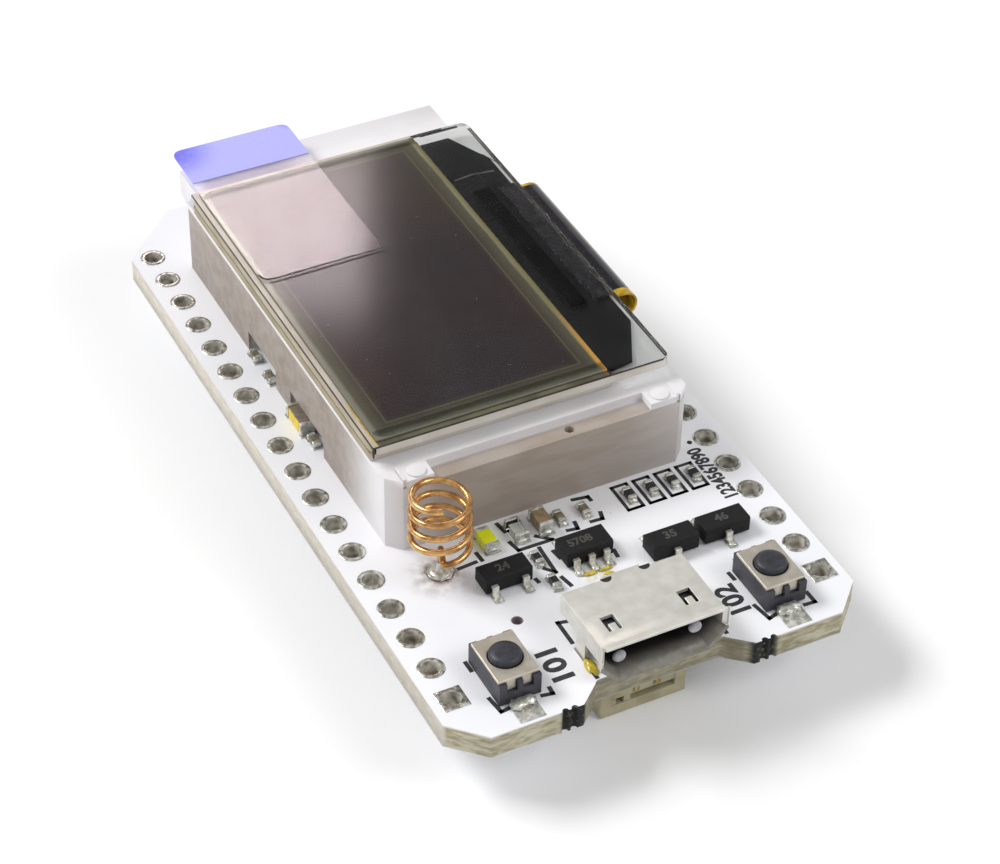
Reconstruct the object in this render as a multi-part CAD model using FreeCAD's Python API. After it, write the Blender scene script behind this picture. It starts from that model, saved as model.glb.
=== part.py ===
import FreeCAD, Part
import math
import os

# Radio board with a display on a plastic bracket, in millimetres.
# X runs across the board, Y along it from the USB end to the display's far end, Z up.
# The origin is under the middle of the board, on the surface that the battery socket stands on.

# Circuit board
board_length = 51.0
board_width = 25.4
board_thickness = 1.6
front_chamfer = 1.9
far_chamfer = 4.0
bay_mouth_half = 5.3
bay_floor_half = 3.9
bay_depth = 1.3
bay_corner = 0.35
bite_radius = 0.22
bite_pitch = 0.55
bite_count = 3
via_radius = 0.35
via_places = ((-5.6, 7.2), (0.4, 7.75), (2.4, 7.75))

# Header holes
hole_pitch = 2.54
row_far_margin = 4.0
row_edge_inset = 1.27
first_hole_inset = 3.4
hole_radius = 0.5
plating = 0.05
ring_radius = 0.88
ring_sides = 8
pad_thickness = 0.06

# Battery socket under the front edge
battery_height = 3.3
battery_width = 5.4
battery_depth = 4.6
battery_inset = 2.7
battery_wall = 0.7
battery_cavity_depth = 3.6
battery_key_width = 0.8
battery_pin_pitch = 1.25
battery_pin_size = 0.4
battery_pin_inset = 0.6
battery_tail = 1.0
battery_tab_width = 0.6
battery_tab_depth = 2.0
battery_tab_thickness = 0.2
battery_tab_inset = 0.4

# Display bracket
bracket_inset = 15.0
bracket_length = 30.4
bracket_ring_gap = 1.0
bracket_height = 5.0
bracket_wall = 1.0
bracket_plate = 1.0
bracket_chamfer = 0.8
lip_reach = 2.6
lip_edge = 1.6
lip_slope = 1.5
ledge_depth = 2.05
recess_depth = 1.2
recess_drop = 0.5
end_block_width = 1.7
end_block_inset = 1.9
peg_radius = 0.55
peg_rise = 0.12
dimple_radius = 0.28
dimple_x = 1.9
foot_gap_height = 1.4
foot_gap_reach = 1.3
foot_gap_places = ((26.6, 4.8), (33.25, 4.2))

# Display panel
glass_overhang = 0.08
front_glass_length = 26.7
front_glass_thickness = 0.6
glass_corner = 0.7
rear_glass_side = 4.06
rear_glass_inset = 0.35
rear_glass_thickness = 0.6
polarizer_side_inset = 0.3
polarizer_inset = 0.4
polarizer_thickness = 0.15
film_inset = 0.45
film_thickness = 0.06
strip_width = 7.8
strip_length = 14.7
strip_overhang = 4.25
strip_thickness = 0.08
strip_corner = 0.9
grip_length = 3.7
grip_thickness = 0.06
driver_width = 1.1
driver_length = 13.0
driver_thickness = 0.3
driver_inset = 2.7
tape_thickness = 0.1
tape_margin = 0.1
tape_end_margin = 0.5
tape_slant = 2.3
tape_near_slant = 7.2
tape_far_slant = 3.6

# Flex ribbon
flex_width = 12.6
flex_thickness = 0.13
flex_bond = 1.6
flex_overhang = 0.57
flex_return = 3.17
flex_bend = 0.5
flex_foot = 2.0
flex_slot_margin = 0.4

# Coil antenna
coil_wire_radius = 0.19
coil_outer_radius = 1.87
coil_pitch = 0.97
coil_turns = 4.0
coil_start_angle = 250.0
coil_steps = 16
coil_wire_sides = 6
coil_base = 2.0
coil_pad_radius = 0.75
coil_ring_gap = 0.98
coil_inset = 12.5

# Micro USB socket
usb_width = 7.5
usb_height = 2.35
usb_length = 5.0
usb_inset = 0.8
usb_sheet = 0.25
usb_taper = 1.0
usb_side = 1.25
usb_flare = 0.22
usb_flare_length = 0.5
usb_window_width = 0.8
usb_window_length = 1.15
usb_window_offset = 2.35
usb_window_inset = 1.9
usb_slit_inset = 0.15
usb_latch_gap = 0.18
usb_latch_shift = 0.6
usb_back_tab_width = 2.4
usb_leg_play = 0.1
usb_leg_width = 1.0
usb_leg_inset = 2.6
usb_leg_reach = 1.3
usb_tongue_width = 3.9
usb_tongue_thickness = 0.75
usb_tongue_drop = 0.35
usb_tongue_inset = 1.3
usb_core_length = 1.6
usb_fit = 0.05
usb_contact_count = 5
usb_contact_width = 0.25
usb_contact_pitch = 0.65
usb_contact_thickness = 0.1
usb_tail = 1.0
usb_pad_width = 0.35

# Push switches
switch_ring_gap = 1.1
switch_inset = 3.6
switch_width = 2.5
switch_length = 3.7
switch_base_height = 1.4
switch_well_radius = 1.2
switch_well_floor = 0.45
switch_cover_thickness = 0.2
switch_cover_inset = 0.2
switch_tab_width = 0.58
switch_tab_offset = 0.47
switch_tab_drop = 0.6
switch_cap_radius = 0.92
switch_cap_rise = 0.42
switch_flange_radius = 1.1
switch_flange_thickness = 0.3
switch_running_fit = 0.05
switch_stop_gap = 0.03
switch_slot_gap = 0.02
dome_radius = 1.05
dome_height = 0.4
dome_sheet = 0.08
terminal_width = 1.2
terminal_reach = 0.55
terminal_thickness = 0.2
terminal_pad_margin = 0.15
front_pad_reach = 1.0
far_pad_reach = 0.3

# Moulded chips with legs
sot_length = 2.9
sot_width = 1.4
sot_height = 1.0
sot_standoff = 0.08
body_slope = 0.1
leg_width = 0.4
leg_thickness = 0.15
leg_reach = 0.6
leg_foot = 0.35
leg_pitch = 0.95
leg_pad_width = 0.55
leg_pad_length = 0.7
transistor_ring_gap = 1.0
transistor_pitch = 3.3
transistor_pair_inset = 8.6
transistor_usb_gap = 1.1
lone_transistor_inset = 10.3
charger_x = 0.2
charger_inset = 10.35
charger_width = 1.6

# Chip parts: length, width and height of each size
small_chip = (1.0, 0.5, 0.38)
lamp_chip = (1.6, 0.85, 0.6)
large_chip = (1.6, 0.85, 0.8)
terminal_cap = 0.25
terminal_skin = 0.03
chip_pad_margin = 0.1
chip_pad_length = 0.36
chip_pad_shift = 0.05
chip_row_inset = 13.42
resistor_first_x = 4.8
resistor_pitch = 1.42
resistor_count = 4
side_resistors = ((-2.45, 10.95), (-2.47, 8.85))
capacitor_xs = (0.28, 1.85)
yellow_lamp_x = -4.35
clear_lamp_x = -2.45
large_capacitor_x = -0.9
edge_capacitors = (25.6, 32.1, 34.4)
inductor_length = 2.2
inductor_width = 0.95
inductor_height = 0.85
inductor_inset = 27.5

# Hidden chips under the display, placed from the bracket's middle
package_chamfer = 0.2
main_chip_size = 6.0
main_chip_height = 0.85
main_chip_wall_gap = 2.05
main_chip_y = 2.0
memory_width = 5.2
memory_length = 5.3
memory_height = 1.7
memory_crystal_gap = 3.5
memory_y = 9.6
memory_pitch = 1.27
serial_chip_size = 5.0
serial_chip_height = 0.8
serial_chip_wall_gap = 1.55
serial_chip_y = -8.5
crystal_length = 3.2
crystal_width = 2.5
crystal_height = 0.75
crystal_wall_gap = 0.4
crystal_y = 9.2
regulator_x = 2.6
regulator_y = -9.5

# Underside of the board
can_width = 16.0
can_length = 18.0
can_height = 2.6
can_sheet = 0.2
can_antenna_gap = 4.2
radio_chip_size = 6.0
radio_chip_height = 0.85
radio_chip_x = 2.0
radio_chip_y = 3.0
radio_crystal_x = -4.5
antenna_ring_gap = 1.25
antenna_socket_inset = 7.0
antenna_base_size = 2.6
antenna_base_thickness = 0.35
antenna_ring_radius = 1.0
antenna_ring_wall = 0.15
antenna_ring_height = 1.2
antenna_pin_radius = 0.25
antenna_pin_height = 0.95

# Levels and edges that other pieces follow
front_edge = -board_length / 2
far_edge = board_length / 2
board_bottom = battery_height
board_top = board_bottom + board_thickness
seat = board_top + pad_thickness
under_seat = board_bottom - pad_thickness
barrel_radius = hole_radius + plating
row_offset = board_width / 2 - row_edge_inset
row_room = board_length - first_hole_inset - row_far_margin
holes_per_row = math.floor(row_room / hole_pitch) + 1
row_inside = row_offset - ring_radius
bracket_width = 2 * (row_inside - bracket_ring_gap)
bracket_inner_left = bracket_wall - bracket_width / 2
front_glass_width = bracket_width + 2 * glass_overhang
rear_glass_width = front_glass_width - rear_glass_side
polarizer_width = rear_glass_width - polarizer_inset - polarizer_side_inset
film_width = front_glass_width - 2 * film_inset
coil_x = coil_outer_radius + coil_ring_gap - row_inside
switch_x = row_inside - switch_ring_gap - switch_width / 2
transistor_x = row_inside - transistor_ring_gap - sot_length / 2
transistor_places = (
    (-usb_width / 2 - transistor_usb_gap, lone_transistor_inset, 1),
    (transistor_x - transistor_pitch, transistor_pair_inset, -1),
    (transistor_x, transistor_pair_inset, -1),
)
main_chip_x = bracket_inner_left + main_chip_wall_gap + main_chip_size / 2
serial_chip_x = bracket_inner_left + serial_chip_wall_gap + serial_chip_size / 2
crystal_x = bracket_inner_left + crystal_wall_gap + crystal_width / 2
memory_x = crystal_x + crystal_width / 2 + memory_crystal_gap + memory_length / 2
antenna_socket_x = row_inside - antenna_ring_gap - antenna_base_size / 2
antenna_socket_y = far_edge - antenna_socket_inset
can_y = antenna_socket_y - antenna_base_size / 2 - can_antenna_gap - can_length / 2
bracket_front = front_edge + bracket_inset
bracket_back = bracket_front + bracket_length
bracket_middle = (bracket_front + bracket_back) / 2
bracket_top = board_top + bracket_height
glass_front = bracket_front + ledge_depth
glass_back = glass_front + front_glass_length
glass_middle = (glass_front + glass_back) / 2
glass_left = -front_glass_width / 2
glass_bottom = bracket_top + rear_glass_thickness
glass_top = glass_bottom + front_glass_thickness
film_bottom = glass_top + polarizer_thickness
strip_bottom = film_bottom + film_thickness
flex_turn_x = flex_overhang - glass_left - flex_thickness
chip_row = front_edge + chip_row_inset

nodes = {}


def vector(x, y, z):
    return FreeCAD.Vector(x, y, z)


def block(width, depth, height, x, y, z):
    """A block centred on x and y that stands on level z."""
    return Part.makeBox(width, depth, height, vector(x - width / 2, y - depth / 2, z))


def rod(radius, height, x, y, z):
    return Part.makeCylinder(radius, height, vector(x, y, z))


def outline(points, level):
    corners = [vector(x, y, level) for x, y in points]
    return Part.Face(Part.makePolygon(corners + corners[:1]))


def plate(points, height, level):
    """A flat outline raised to a plate."""
    return outline(points, level).extrude(vector(0, 0, height))


def flat_sided(sides, radius, x, y):
    """Corners of a regular outline whose flats touch a circle of the given radius."""
    turn = 2 * math.pi / sides
    reach = radius / math.cos(turn / 2)
    angles = [turn * (index + 0.5) for index in range(sides)]
    return [(x + reach * math.cos(angle), y + reach * math.sin(angle)) for angle in angles]


def drill(radius, x, y):
    """A flat-sided plug through the board, as a cutting tool or as a plated wall."""
    return plate(flat_sided(ring_sides, radius, x, y), board_thickness, board_bottom)


def turned(points, x, y):
    """A section of radius and level turned about the upright axis through x and y."""
    corners = [vector(radius, 0, level) for radius, level in points]
    face = Part.Face(Part.makePolygon(corners + corners[:1]))
    solid = face.revolve(vector(0, 0, 0), vector(0, 0, 1), 360)
    solid.translate(vector(x, y, 0))
    return solid


def drawn_along_y(points, start, length):
    """A section of x and level drawn out along the board."""
    corners = [vector(x, start, level) for x, level in points]
    return Part.Face(Part.makePolygon(corners + corners[:1])).extrude(vector(0, length, 0))


def drawn_along_x(points, start, length):
    """A section of y and level drawn out across the board."""
    corners = [vector(start, y, level) for y, level in points]
    return Part.Face(Part.makePolygon(corners + corners[:1])).extrude(vector(length, 0, 0))


def rounded_sheet(width, depth, height, radius, x, y, z):
    """A flat sheet whose four corners turn in three short flats each."""
    corners = []
    for quarter, side_x, side_y in ((0, 1, 1), (1, -1, 1), (2, -1, -1), (3, 1, -1)):
        centre_x = x + side_x * (width / 2 - radius)
        centre_y = y + side_y * (depth / 2 - radius)
        for step in range(4):
            angle = math.pi / 2 * (quarter + step / 3)
            corners.append((centre_x + radius * math.cos(angle), centre_y + radius * math.sin(angle)))
    return plate(corners, height, z)


def chamfered_sheet(width, depth, height, x, y, z):
    """A block with its four upright edges cut back a little, as a package or a can has."""
    sheet = block(width, depth, height, x, y, z)
    upright = [edge for edge in sheet.Edges if abs(edge.tangentAt(edge.FirstParameter).z) > 0.99]
    return sheet.makeChamfer(package_chamfer, upright)


def fused(shapes):
    return shapes[0].multiFuse(shapes[1:]).removeSplitter()


def cut_all(shape, tools):
    return shape.cut(Part.makeCompound(tools))


def keep(name, *solids):
    """Collect the solids of one node."""
    nodes[name] = solids[0] if len(solids) == 1 else Part.makeCompound(list(solids))


def hole_places(side):
    start = front_edge + first_hole_inset
    return [(side * row_offset, start + index * hole_pitch) for index in range(holes_per_row)]


def ends_row(index):
    """Whether a hole is the first or last of its row, where a fixture's pin goes."""
    return index in (0, holes_per_row - 1)


def make_board():
    half = board_width / 2
    mouth = [
        (-half, front_edge + front_chamfer),
        (-half + front_chamfer, front_edge),
        (half - front_chamfer, front_edge),
        (half, front_edge + front_chamfer),
        (half, far_edge - far_chamfer),
        (half - far_chamfer, far_edge),
        (-half + far_chamfer, far_edge),
        (-half, far_edge - far_chamfer),
    ]
    board = plate(mouth, board_thickness, board_bottom)
    bay = plate(
        [
            (-bay_mouth_half, front_edge - bay_depth),
            (bay_mouth_half, front_edge - bay_depth),
            (bay_floor_half + bay_corner / 2, front_edge + bay_depth - bay_corner),
            (bay_floor_half - bay_corner, front_edge + bay_depth),
            (bay_corner - bay_floor_half, front_edge + bay_depth),
            (-bay_floor_half - bay_corner / 2, front_edge + bay_depth - bay_corner),
        ],
        board_thickness,
        board_bottom,
    )
    tools = [bay]
    for side in (-1, 1):
        for index in range(bite_count):
            bite_x = side * (bay_mouth_half + index * bite_pitch)
            tools.append(drill(bite_radius, bite_x, front_edge))
        for index, (x, y) in enumerate(hole_places(side)):
            if ends_row(index):
                tools.append(rod(hole_radius, board_thickness, x, y, board_bottom))
            else:
                tools.append(drill(barrel_radius, x, y))
        leg_x = side * (usb_width / 2 - usb_sheet / 2)
        leg_y = front_edge + usb_inset + usb_leg_inset
        slot_width = usb_sheet + 2 * usb_leg_play
        slot_length = usb_leg_width + 2 * usb_leg_play
        tools.append(block(slot_width, slot_length, board_thickness, leg_x, leg_y, board_bottom))
    for x, inset in via_places:
        tools.append(drill(via_radius, x, front_edge + inset))
    keep("circuit_board", cut_all(board, tools))


def make_header_rings():
    """Tinned rings on both faces, joined by the plated wall of each hole.

    The holes at the two ends of a row are round and bare down to the board; the rest have flats.
    """
    reach = seat - under_seat
    for name, side in (("left_header_rings", -1), ("right_header_rings", 1)):
        rings = []
        for index, (x, y) in enumerate(hole_places(side)):
            corners = flat_sided(ring_sides, ring_radius, x, y)
            if index == 0:
                half = ring_radius
                signs = ((-1, -1), (1, -1), (1, 1), (-1, 1))
                corners = [(x + across * half, y + along * half) for across, along in signs]
            flanges = [plate(corners, pad_thickness, level) for level in (under_seat, board_top)]
            if ends_row(index):
                bore = rod(hole_radius, reach, x, y, under_seat)
                rings.extend(flange.cut(bore) for flange in flanges)
            else:
                bore = plate(flat_sided(ring_sides, hole_radius, x, y), reach, under_seat)
                rings.append(fused(flanges + [drill(barrel_radius, x, y)]).cut(bore))
        keep(name, *rings)


def make_bracket():
    half = bracket_width / 2
    level = board_top
    shell = block(bracket_width, bracket_length, bracket_height, 0, bracket_middle, level)
    upright = [edge for edge in shell.Edges if abs(edge.tangentAt(0).z) > 0.99]
    shell = shell.makeChamfer(bracket_chamfer, upright)
    lip = drawn_along_x(
        [
            (bracket_back - bracket_wall, bracket_top),
            (bracket_back + lip_reach, bracket_top),
            (bracket_back + lip_reach, bracket_top - lip_edge),
            (bracket_back - bracket_wall, bracket_top - lip_edge - lip_slope),
        ],
        -half + bracket_chamfer,
        bracket_width - 2 * bracket_chamfer,
    )
    cavity = block(
        bracket_width - 2 * bracket_wall,
        bracket_length - 2 * bracket_wall,
        bracket_height - bracket_plate,
        0,
        bracket_middle,
        level,
    )
    recess_level = bracket_top - recess_drop
    recess_middle = bracket_front + recess_depth / 2
    recess = block(
        bracket_width - 2 * bracket_chamfer,
        recess_depth,
        recess_drop,
        0,
        recess_middle,
        recess_level,
    )
    tools = [cavity, recess]
    dimple = flat_sided(ring_sides, dimple_radius, dimple_x, recess_middle)
    tools.append(plate(dimple, recess_drop, recess_level - recess_drop))
    for inset, length in foot_gap_places:
        y = front_edge + inset
        tools.append(block(2 * foot_gap_reach, length, foot_gap_height, -half, y, level))
    slot_top = bracket_top - bracket_plate
    slot_height = 2 * flex_thickness + flex_slot_margin
    slot_length = flex_width + 2 * flex_slot_margin
    tools.append(
        block(3 * bracket_wall, slot_length, slot_height, half, glass_middle, slot_top - slot_height)
    )
    shell = cut_all(fused([shell, lip]), tools)
    blocks = []
    for side in (-1, 1):
        x = side * (half - bracket_chamfer - end_block_inset + end_block_width / 2)
        blocks.append(block(end_block_width, recess_depth, recess_drop, x, recess_middle, recess_level))
        blocks.append(rod(peg_radius, recess_drop + peg_rise, x, recess_middle, recess_level))
    keep("display_bracket", fused([shell] + blocks))


def make_panel():
    rear_x = glass_left + rear_glass_width / 2
    rear_length = front_glass_length - 2 * rear_glass_inset
    keep(
        "rear_glass",
        block(rear_glass_width, rear_length, rear_glass_thickness, rear_x, glass_middle, bracket_top),
    )
    keep(
        "front_glass",
        rounded_sheet(
            front_glass_width,
            front_glass_length,
            front_glass_thickness,
            glass_corner,
            0,
            glass_middle,
            glass_bottom,
        ),
    )
    polarizer_x = glass_left + polarizer_inset + polarizer_width / 2
    polarizer_length = front_glass_length - 2 * polarizer_inset
    keep(
        "polarizer",
        block(
            polarizer_width,
            polarizer_length,
            polarizer_thickness,
            polarizer_x,
            glass_middle,
            glass_top,
        ),
    )
    driver_x = -glass_left - driver_inset
    keep(
        "driver_chip",
        block(
            driver_width,
            driver_length,
            driver_thickness,
            driver_x,
            glass_middle,
            glass_bottom - driver_thickness,
        ),
    )
    tape_left = glass_left + rear_glass_width
    tape_right = -glass_left - tape_margin
    tape_front = glass_front + tape_end_margin
    tape_back = glass_back - tape_end_margin
    keep(
        "light_shield_tape",
        plate(
            [
                (tape_left, tape_front),
                (tape_right - tape_slant, tape_front),
                (tape_right, tape_front + tape_near_slant),
                (tape_right, tape_back - tape_far_slant),
                (tape_right - tape_slant, tape_back),
                (tape_left, tape_back),
            ],
            tape_thickness,
            glass_bottom - driver_thickness - tape_thickness,
        ),
    )


def make_film_and_tab():
    film_length = front_glass_length - 2 * film_inset
    keep(
        "protective_film",
        rounded_sheet(
            film_width, film_length, film_thickness, glass_corner, 0, glass_middle, film_bottom
        ),
    )
    strip_x = glass_left + polarizer_inset + strip_width / 2
    strip_back = glass_back + strip_overhang
    keep(
        "pull_tab_strip",
        rounded_sheet(
            strip_width,
            strip_length,
            strip_thickness,
            strip_corner,
            strip_x,
            strip_back - strip_length / 2,
            strip_bottom,
        ),
    )
    keep(
        "pull_tab_grip",
        rounded_sheet(
            strip_width,
            grip_length,
            grip_thickness,
            strip_corner,
            strip_x,
            strip_back - grip_length / 2,
            strip_bottom + strip_thickness,
        ),
    )


def make_flex():
    """A ribbon folded round the bracket's edge and down to the board, as one section."""
    upper = glass_bottom
    lower = bracket_top - bracket_plate - flex_thickness
    turn = (upper - lower + flex_thickness) / 2
    turn_x = flex_turn_x
    start_x = -glass_left - flex_bond
    back_x = turn_x - flex_return
    across = vector(1, 0, 0)
    up = vector(0, 0, 1)

    def side(inset):
        """One side of the ribbon; inset is zero outside and the thickness inside."""
        radius = turn - inset
        centre = vector(turn_x, 0, upper - turn)
        bend = flex_bend + inset
        knee = vector(back_x, 0, centre.z - radius - bend)
        heel = flex_bend + flex_thickness - inset
        ankle = vector(back_x - flex_bend - inset - heel, 0, seat + inset + heel)
        diagonal = math.sqrt(0.5)
        start = vector(start_x, 0, upper - inset)
        top = centre + up * radius
        low = centre - up * radius
        knee_top = knee + up * bend
        knee_left = knee - across * bend
        ankle_right = ankle + across * heel
        ankle_low = ankle - up * heel
        end = vector(ankle.x - flex_foot, 0, ankle_low.z)
        knee_mid = knee + (up - across) * (bend * diagonal)
        ankle_mid = ankle + (across - up) * (heel * diagonal)
        edges = [
            Part.makeLine(start, top),
            Part.Arc(top, centre + across * radius, low).toShape(),
            Part.makeLine(low, knee_top),
            Part.Arc(knee_top, knee_mid, knee_left).toShape(),
            Part.makeLine(knee_left, ankle_right),
            Part.Arc(ankle_right, ankle_mid, ankle_low).toShape(),
            Part.makeLine(ankle_low, end),
        ]
        return edges, start, end

    outer, outer_start, outer_end = side(0)
    inner, inner_start, inner_end = side(flex_thickness)
    ends = [Part.makeLine(outer_start, inner_start), Part.makeLine(outer_end, inner_end)]
    wire = Part.Wire(Part.__sortEdges__(outer + inner + ends))
    ribbon = Part.Face(wire).extrude(vector(0, flex_width, 0))
    ribbon.translate(vector(0, glass_middle - flex_width / 2, 0))
    keep("flex_ribbon", ribbon)


def coil_path():
    """Middle line of the wire: up from its pad, out along an arm and round the turns."""
    y = front_edge + coil_inset
    radius = coil_outer_radius - coil_wire_radius
    start_level = board_top + coil_base
    path = [vector(coil_x, y, seat), vector(coil_x, y, start_level)]
    for index in range(round(coil_turns * coil_steps) + 1):
        angle = math.radians(coil_start_angle) + 2 * math.pi * index / coil_steps
        level = start_level + coil_pitch * index / coil_steps
        path.append(vector(coil_x + radius * math.cos(angle), y + radius * math.sin(angle), level))
    return path


def make_coil():
    """The wire as short straight lengths that meet on the plane half way between them."""
    path = coil_path()
    start = path[0]
    section = flat_sided(coil_wire_sides, coil_wire_radius, start.x, start.y)
    ring = [vector(x, y, start.z) for x, y in section]
    faces = [Part.Face(Part.makePolygon(ring + ring[:1]))]
    for index in range(1, len(path)):
        here = path[index]
        incoming = (here - path[index - 1]).normalize()
        normal = incoming
        if index < len(path) - 1:
            normal = (incoming + (path[index + 1] - here).normalize()).normalize()
        reached = []
        for corner in ring:
            reached.append(corner + incoming * ((here - corner).dot(normal) / incoming.dot(normal)))
        for side in range(coil_wire_sides):
            after = (side + 1) % coil_wire_sides
            quad = [ring[side], ring[after], reached[after], reached[side]]
            faces.append(Part.Face(Part.makePolygon(quad + quad[:1])))
        ring = reached
    faces.append(Part.Face(Part.makePolygon(ring + ring[:1])))
    shell = Part.makeShell(faces)
    shell.sewShape()
    solid = Part.Solid(shell)
    if solid.Volume < 0:
        solid.reverse()
    keep("coil_antenna", solid)


def usb_section(grow):
    """The socket's outline, wide on top and narrower below, moved outwards by one amount."""
    drop = usb_height - usb_side
    slant = math.hypot(usb_taper, drop)
    half = usb_width / 2 + grow
    low = seat - grow
    high = seat + usb_height + grow
    knee = seat + drop - grow * (slant - drop) / usb_taper
    foot = usb_width / 2 - usb_taper + grow * (slant - usb_taper) / drop
    return [(-half, high), (half, high), (half, knee), (foot, low), (-foot, low), (-half, knee)]


def make_usb():
    usb_front = front_edge + usb_inset
    usb_back = usb_front + usb_length
    start = usb_front + usb_flare_length

    def face_at(grow, y):
        corners = [vector(x, y, level) for x, level in usb_section(grow)]
        return Part.makePolygon(corners + corners[:1])

    def tube(grow_front, grow_back):
        flare = Part.makeLoft([face_at(grow_front, usb_front), face_at(grow_back, start)], True)
        body = drawn_along_y(usb_section(grow_back), start, usb_back - start)
        return fused([flare, body])

    outer = tube(usb_flare, 0)
    inner = tube(usb_flare - usb_sheet, -usb_sheet)
    shell = outer.cut(inner)
    tools = []
    top = seat + usb_height
    for side in (-1, 1):
        corner_x = side * (usb_width / 2)
        slit_y = usb_front + usb_slit_inset
        tools.append(block(usb_sheet, usb_flare_length, usb_height, corner_x, slit_y, seat + usb_side))
        window_x = side * usb_window_offset
        window_y = usb_front + usb_window_inset
        window = block(
            usb_window_width, usb_window_length, 2 * usb_sheet, window_x, window_y, top - usb_sheet
        )
        latch = block(
            usb_window_width - 2 * usb_latch_gap,
            usb_window_length,
            2 * usb_sheet,
            window_x,
            window_y - usb_latch_shift,
            top - usb_sheet,
        )
        tools.append(window.cut(latch))
    shell = cut_all(shell, tools)
    leg_y = usb_front + usb_leg_inset
    knee = seat + usb_height - usb_side
    legs = []
    for side in (-1, 1):
        leg_x = side * (usb_width / 2 - usb_sheet / 2)
        reach = knee - board_top + usb_leg_reach + usb_sheet
        legs.append(
            block(usb_sheet, usb_leg_width, reach, leg_x, leg_y, board_top - usb_leg_reach)
        )
    tab_y = usb_back + usb_sheet / 2
    tab = block(usb_back_tab_width, usb_sheet, usb_height / 2, 0, tab_y, top - usb_height / 2)
    keep("usb_shell", fused([shell, tab] + legs))

    core_start = usb_back - usb_core_length
    core = drawn_along_y(usb_section(-usb_sheet - usb_fit), core_start, usb_core_length)
    tongue_front = usb_front + usb_tongue_inset
    tongue_level = top - usb_sheet - usb_tongue_drop - usb_tongue_thickness
    tongue = block(
        usb_tongue_width,
        core_start - tongue_front,
        usb_tongue_thickness,
        0,
        (core_start + tongue_front) / 2,
        tongue_level,
    )
    body = fused([core, tongue])
    contacts = []
    channels = []
    for index in range(usb_contact_count):
        x = (index - (usb_contact_count - 1) / 2) * usb_contact_pitch
        strip = block(
            usb_contact_width,
            usb_back - tongue_front,
            usb_contact_thickness,
            x,
            (usb_back + tongue_front) / 2,
            tongue_level,
        )
        channels.append(strip)
        drop = block(
            usb_contact_width,
            usb_contact_thickness,
            tongue_level + usb_contact_thickness - seat,
            x,
            usb_back + usb_contact_thickness / 2,
            seat,
        )
        tail = block(
            usb_contact_width,
            usb_tail,
            usb_contact_thickness,
            x,
            usb_back + usb_tail / 2,
            seat,
        )
        contacts.append(fused([strip, drop, tail]))
    keep("usb_tongue", cut_all(body, channels))
    keep("usb_contacts", *contacts)


def make_switch(name, x):
    y = front_edge + switch_inset
    top = seat + switch_base_height
    well_level = seat + switch_well_floor
    base = block(switch_width, switch_length, switch_base_height, x, y, seat)
    well = rod(switch_well_radius, switch_base_height, x, y, well_level)
    cover_length = switch_length - 2 * switch_cover_inset
    slots = []
    tabs = []
    terminals = []
    for side in (-1, 1):
        tab_y = y + side * (cover_length / 2 - switch_cover_thickness / 2)
        tab_level = top - switch_tab_drop
        slot_y = y + side * (switch_length / 2 - switch_cover_inset / 2 - switch_cover_thickness / 2)
        slot_depth = switch_cover_thickness + switch_cover_inset + switch_slot_gap
        for tab_x in (x - switch_tab_offset, x + switch_tab_offset):
            tabs.append(
                block(
                    switch_tab_width,
                    switch_cover_thickness,
                    switch_tab_drop,
                    tab_x,
                    tab_y,
                    tab_level,
                )
            )
            slots.append(
                block(
                    switch_tab_width + 2 * switch_slot_gap,
                    slot_depth,
                    switch_tab_drop + switch_slot_gap,
                    tab_x,
                    slot_y,
                    tab_level - switch_slot_gap,
                )
            )
        terminal_y = y + side * (switch_length / 2 + terminal_reach / 2)
        terminals.append(
            block(terminal_width, terminal_reach, terminal_thickness, x, terminal_y, seat)
        )
    keep(name + "_switch_base", cut_all(base, [well] + slots))
    cover = block(switch_width, cover_length, switch_cover_thickness, x, y, top)
    opening = rod(switch_cap_radius + switch_running_fit, switch_cover_thickness, x, y, top)
    keep(name + "_switch_cover", fused([cover] + tabs).cut(opening))
    keep(name + "_switch_terminals", *terminals)

    flange_top = top - switch_stop_gap
    flange_low = flange_top - switch_flange_thickness
    stub_low = well_level + dome_height + switch_stop_gap
    cap_top = top + switch_cover_thickness + switch_cap_rise
    keep(
        name + "_switch_cap",
        turned(
            [
                (0, stub_low),
                (dome_radius / 2, stub_low),
                (dome_radius / 2, flange_low),
                (switch_flange_radius, flange_low),
                (switch_flange_radius, flange_top),
                (switch_cap_radius, flange_top),
                (switch_cap_radius, cap_top),
                (0, cap_top),
            ],
            x,
            y,
        ),
    )
    crown = dome_radius / 3
    dome_top = well_level + dome_height
    keep(
        name + "_switch_dome",
        turned(
            [
                (dome_radius - dome_sheet, well_level),
                (dome_radius, well_level),
                (crown, dome_top),
                (0, dome_top),
                (0, dome_top - dome_sheet),
                (crown - dome_sheet, dome_top - dome_sheet),
            ],
            x,
            y,
        ),
    )


def gull_leg(x, y, way, level):
    """A leg that leaves a body at y, bends down and ends in a foot on the pad."""
    reach = way * leg_reach
    foot = way * leg_foot
    skin = way * leg_thickness
    section = [
        (y, level + leg_thickness),
        (y + reach - foot, level + leg_thickness),
        (y + reach - foot, seat + leg_thickness),
        (y + reach, seat + leg_thickness),
        (y + reach, seat),
        (y + reach - foot - skin, seat),
        (y + reach - foot - skin, level),
        (y, level),
    ]
    return drawn_along_x(section, x - leg_width / 2, leg_width)


def chip_body(length, width, height, x, y):
    """A moulded body with its upper edges sloped a little."""
    low = seat + sot_standoff
    top = low + height
    body = block(length, width, height, x, y, low)
    upper = [
        edge
        for edge in body.Edges
        if edge.BoundBox.ZMin > top - 0.001 and abs(edge.CenterOfMass.y - y) > 0.001
    ]
    return body.makeChamfer(body_slope, upper)


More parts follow.
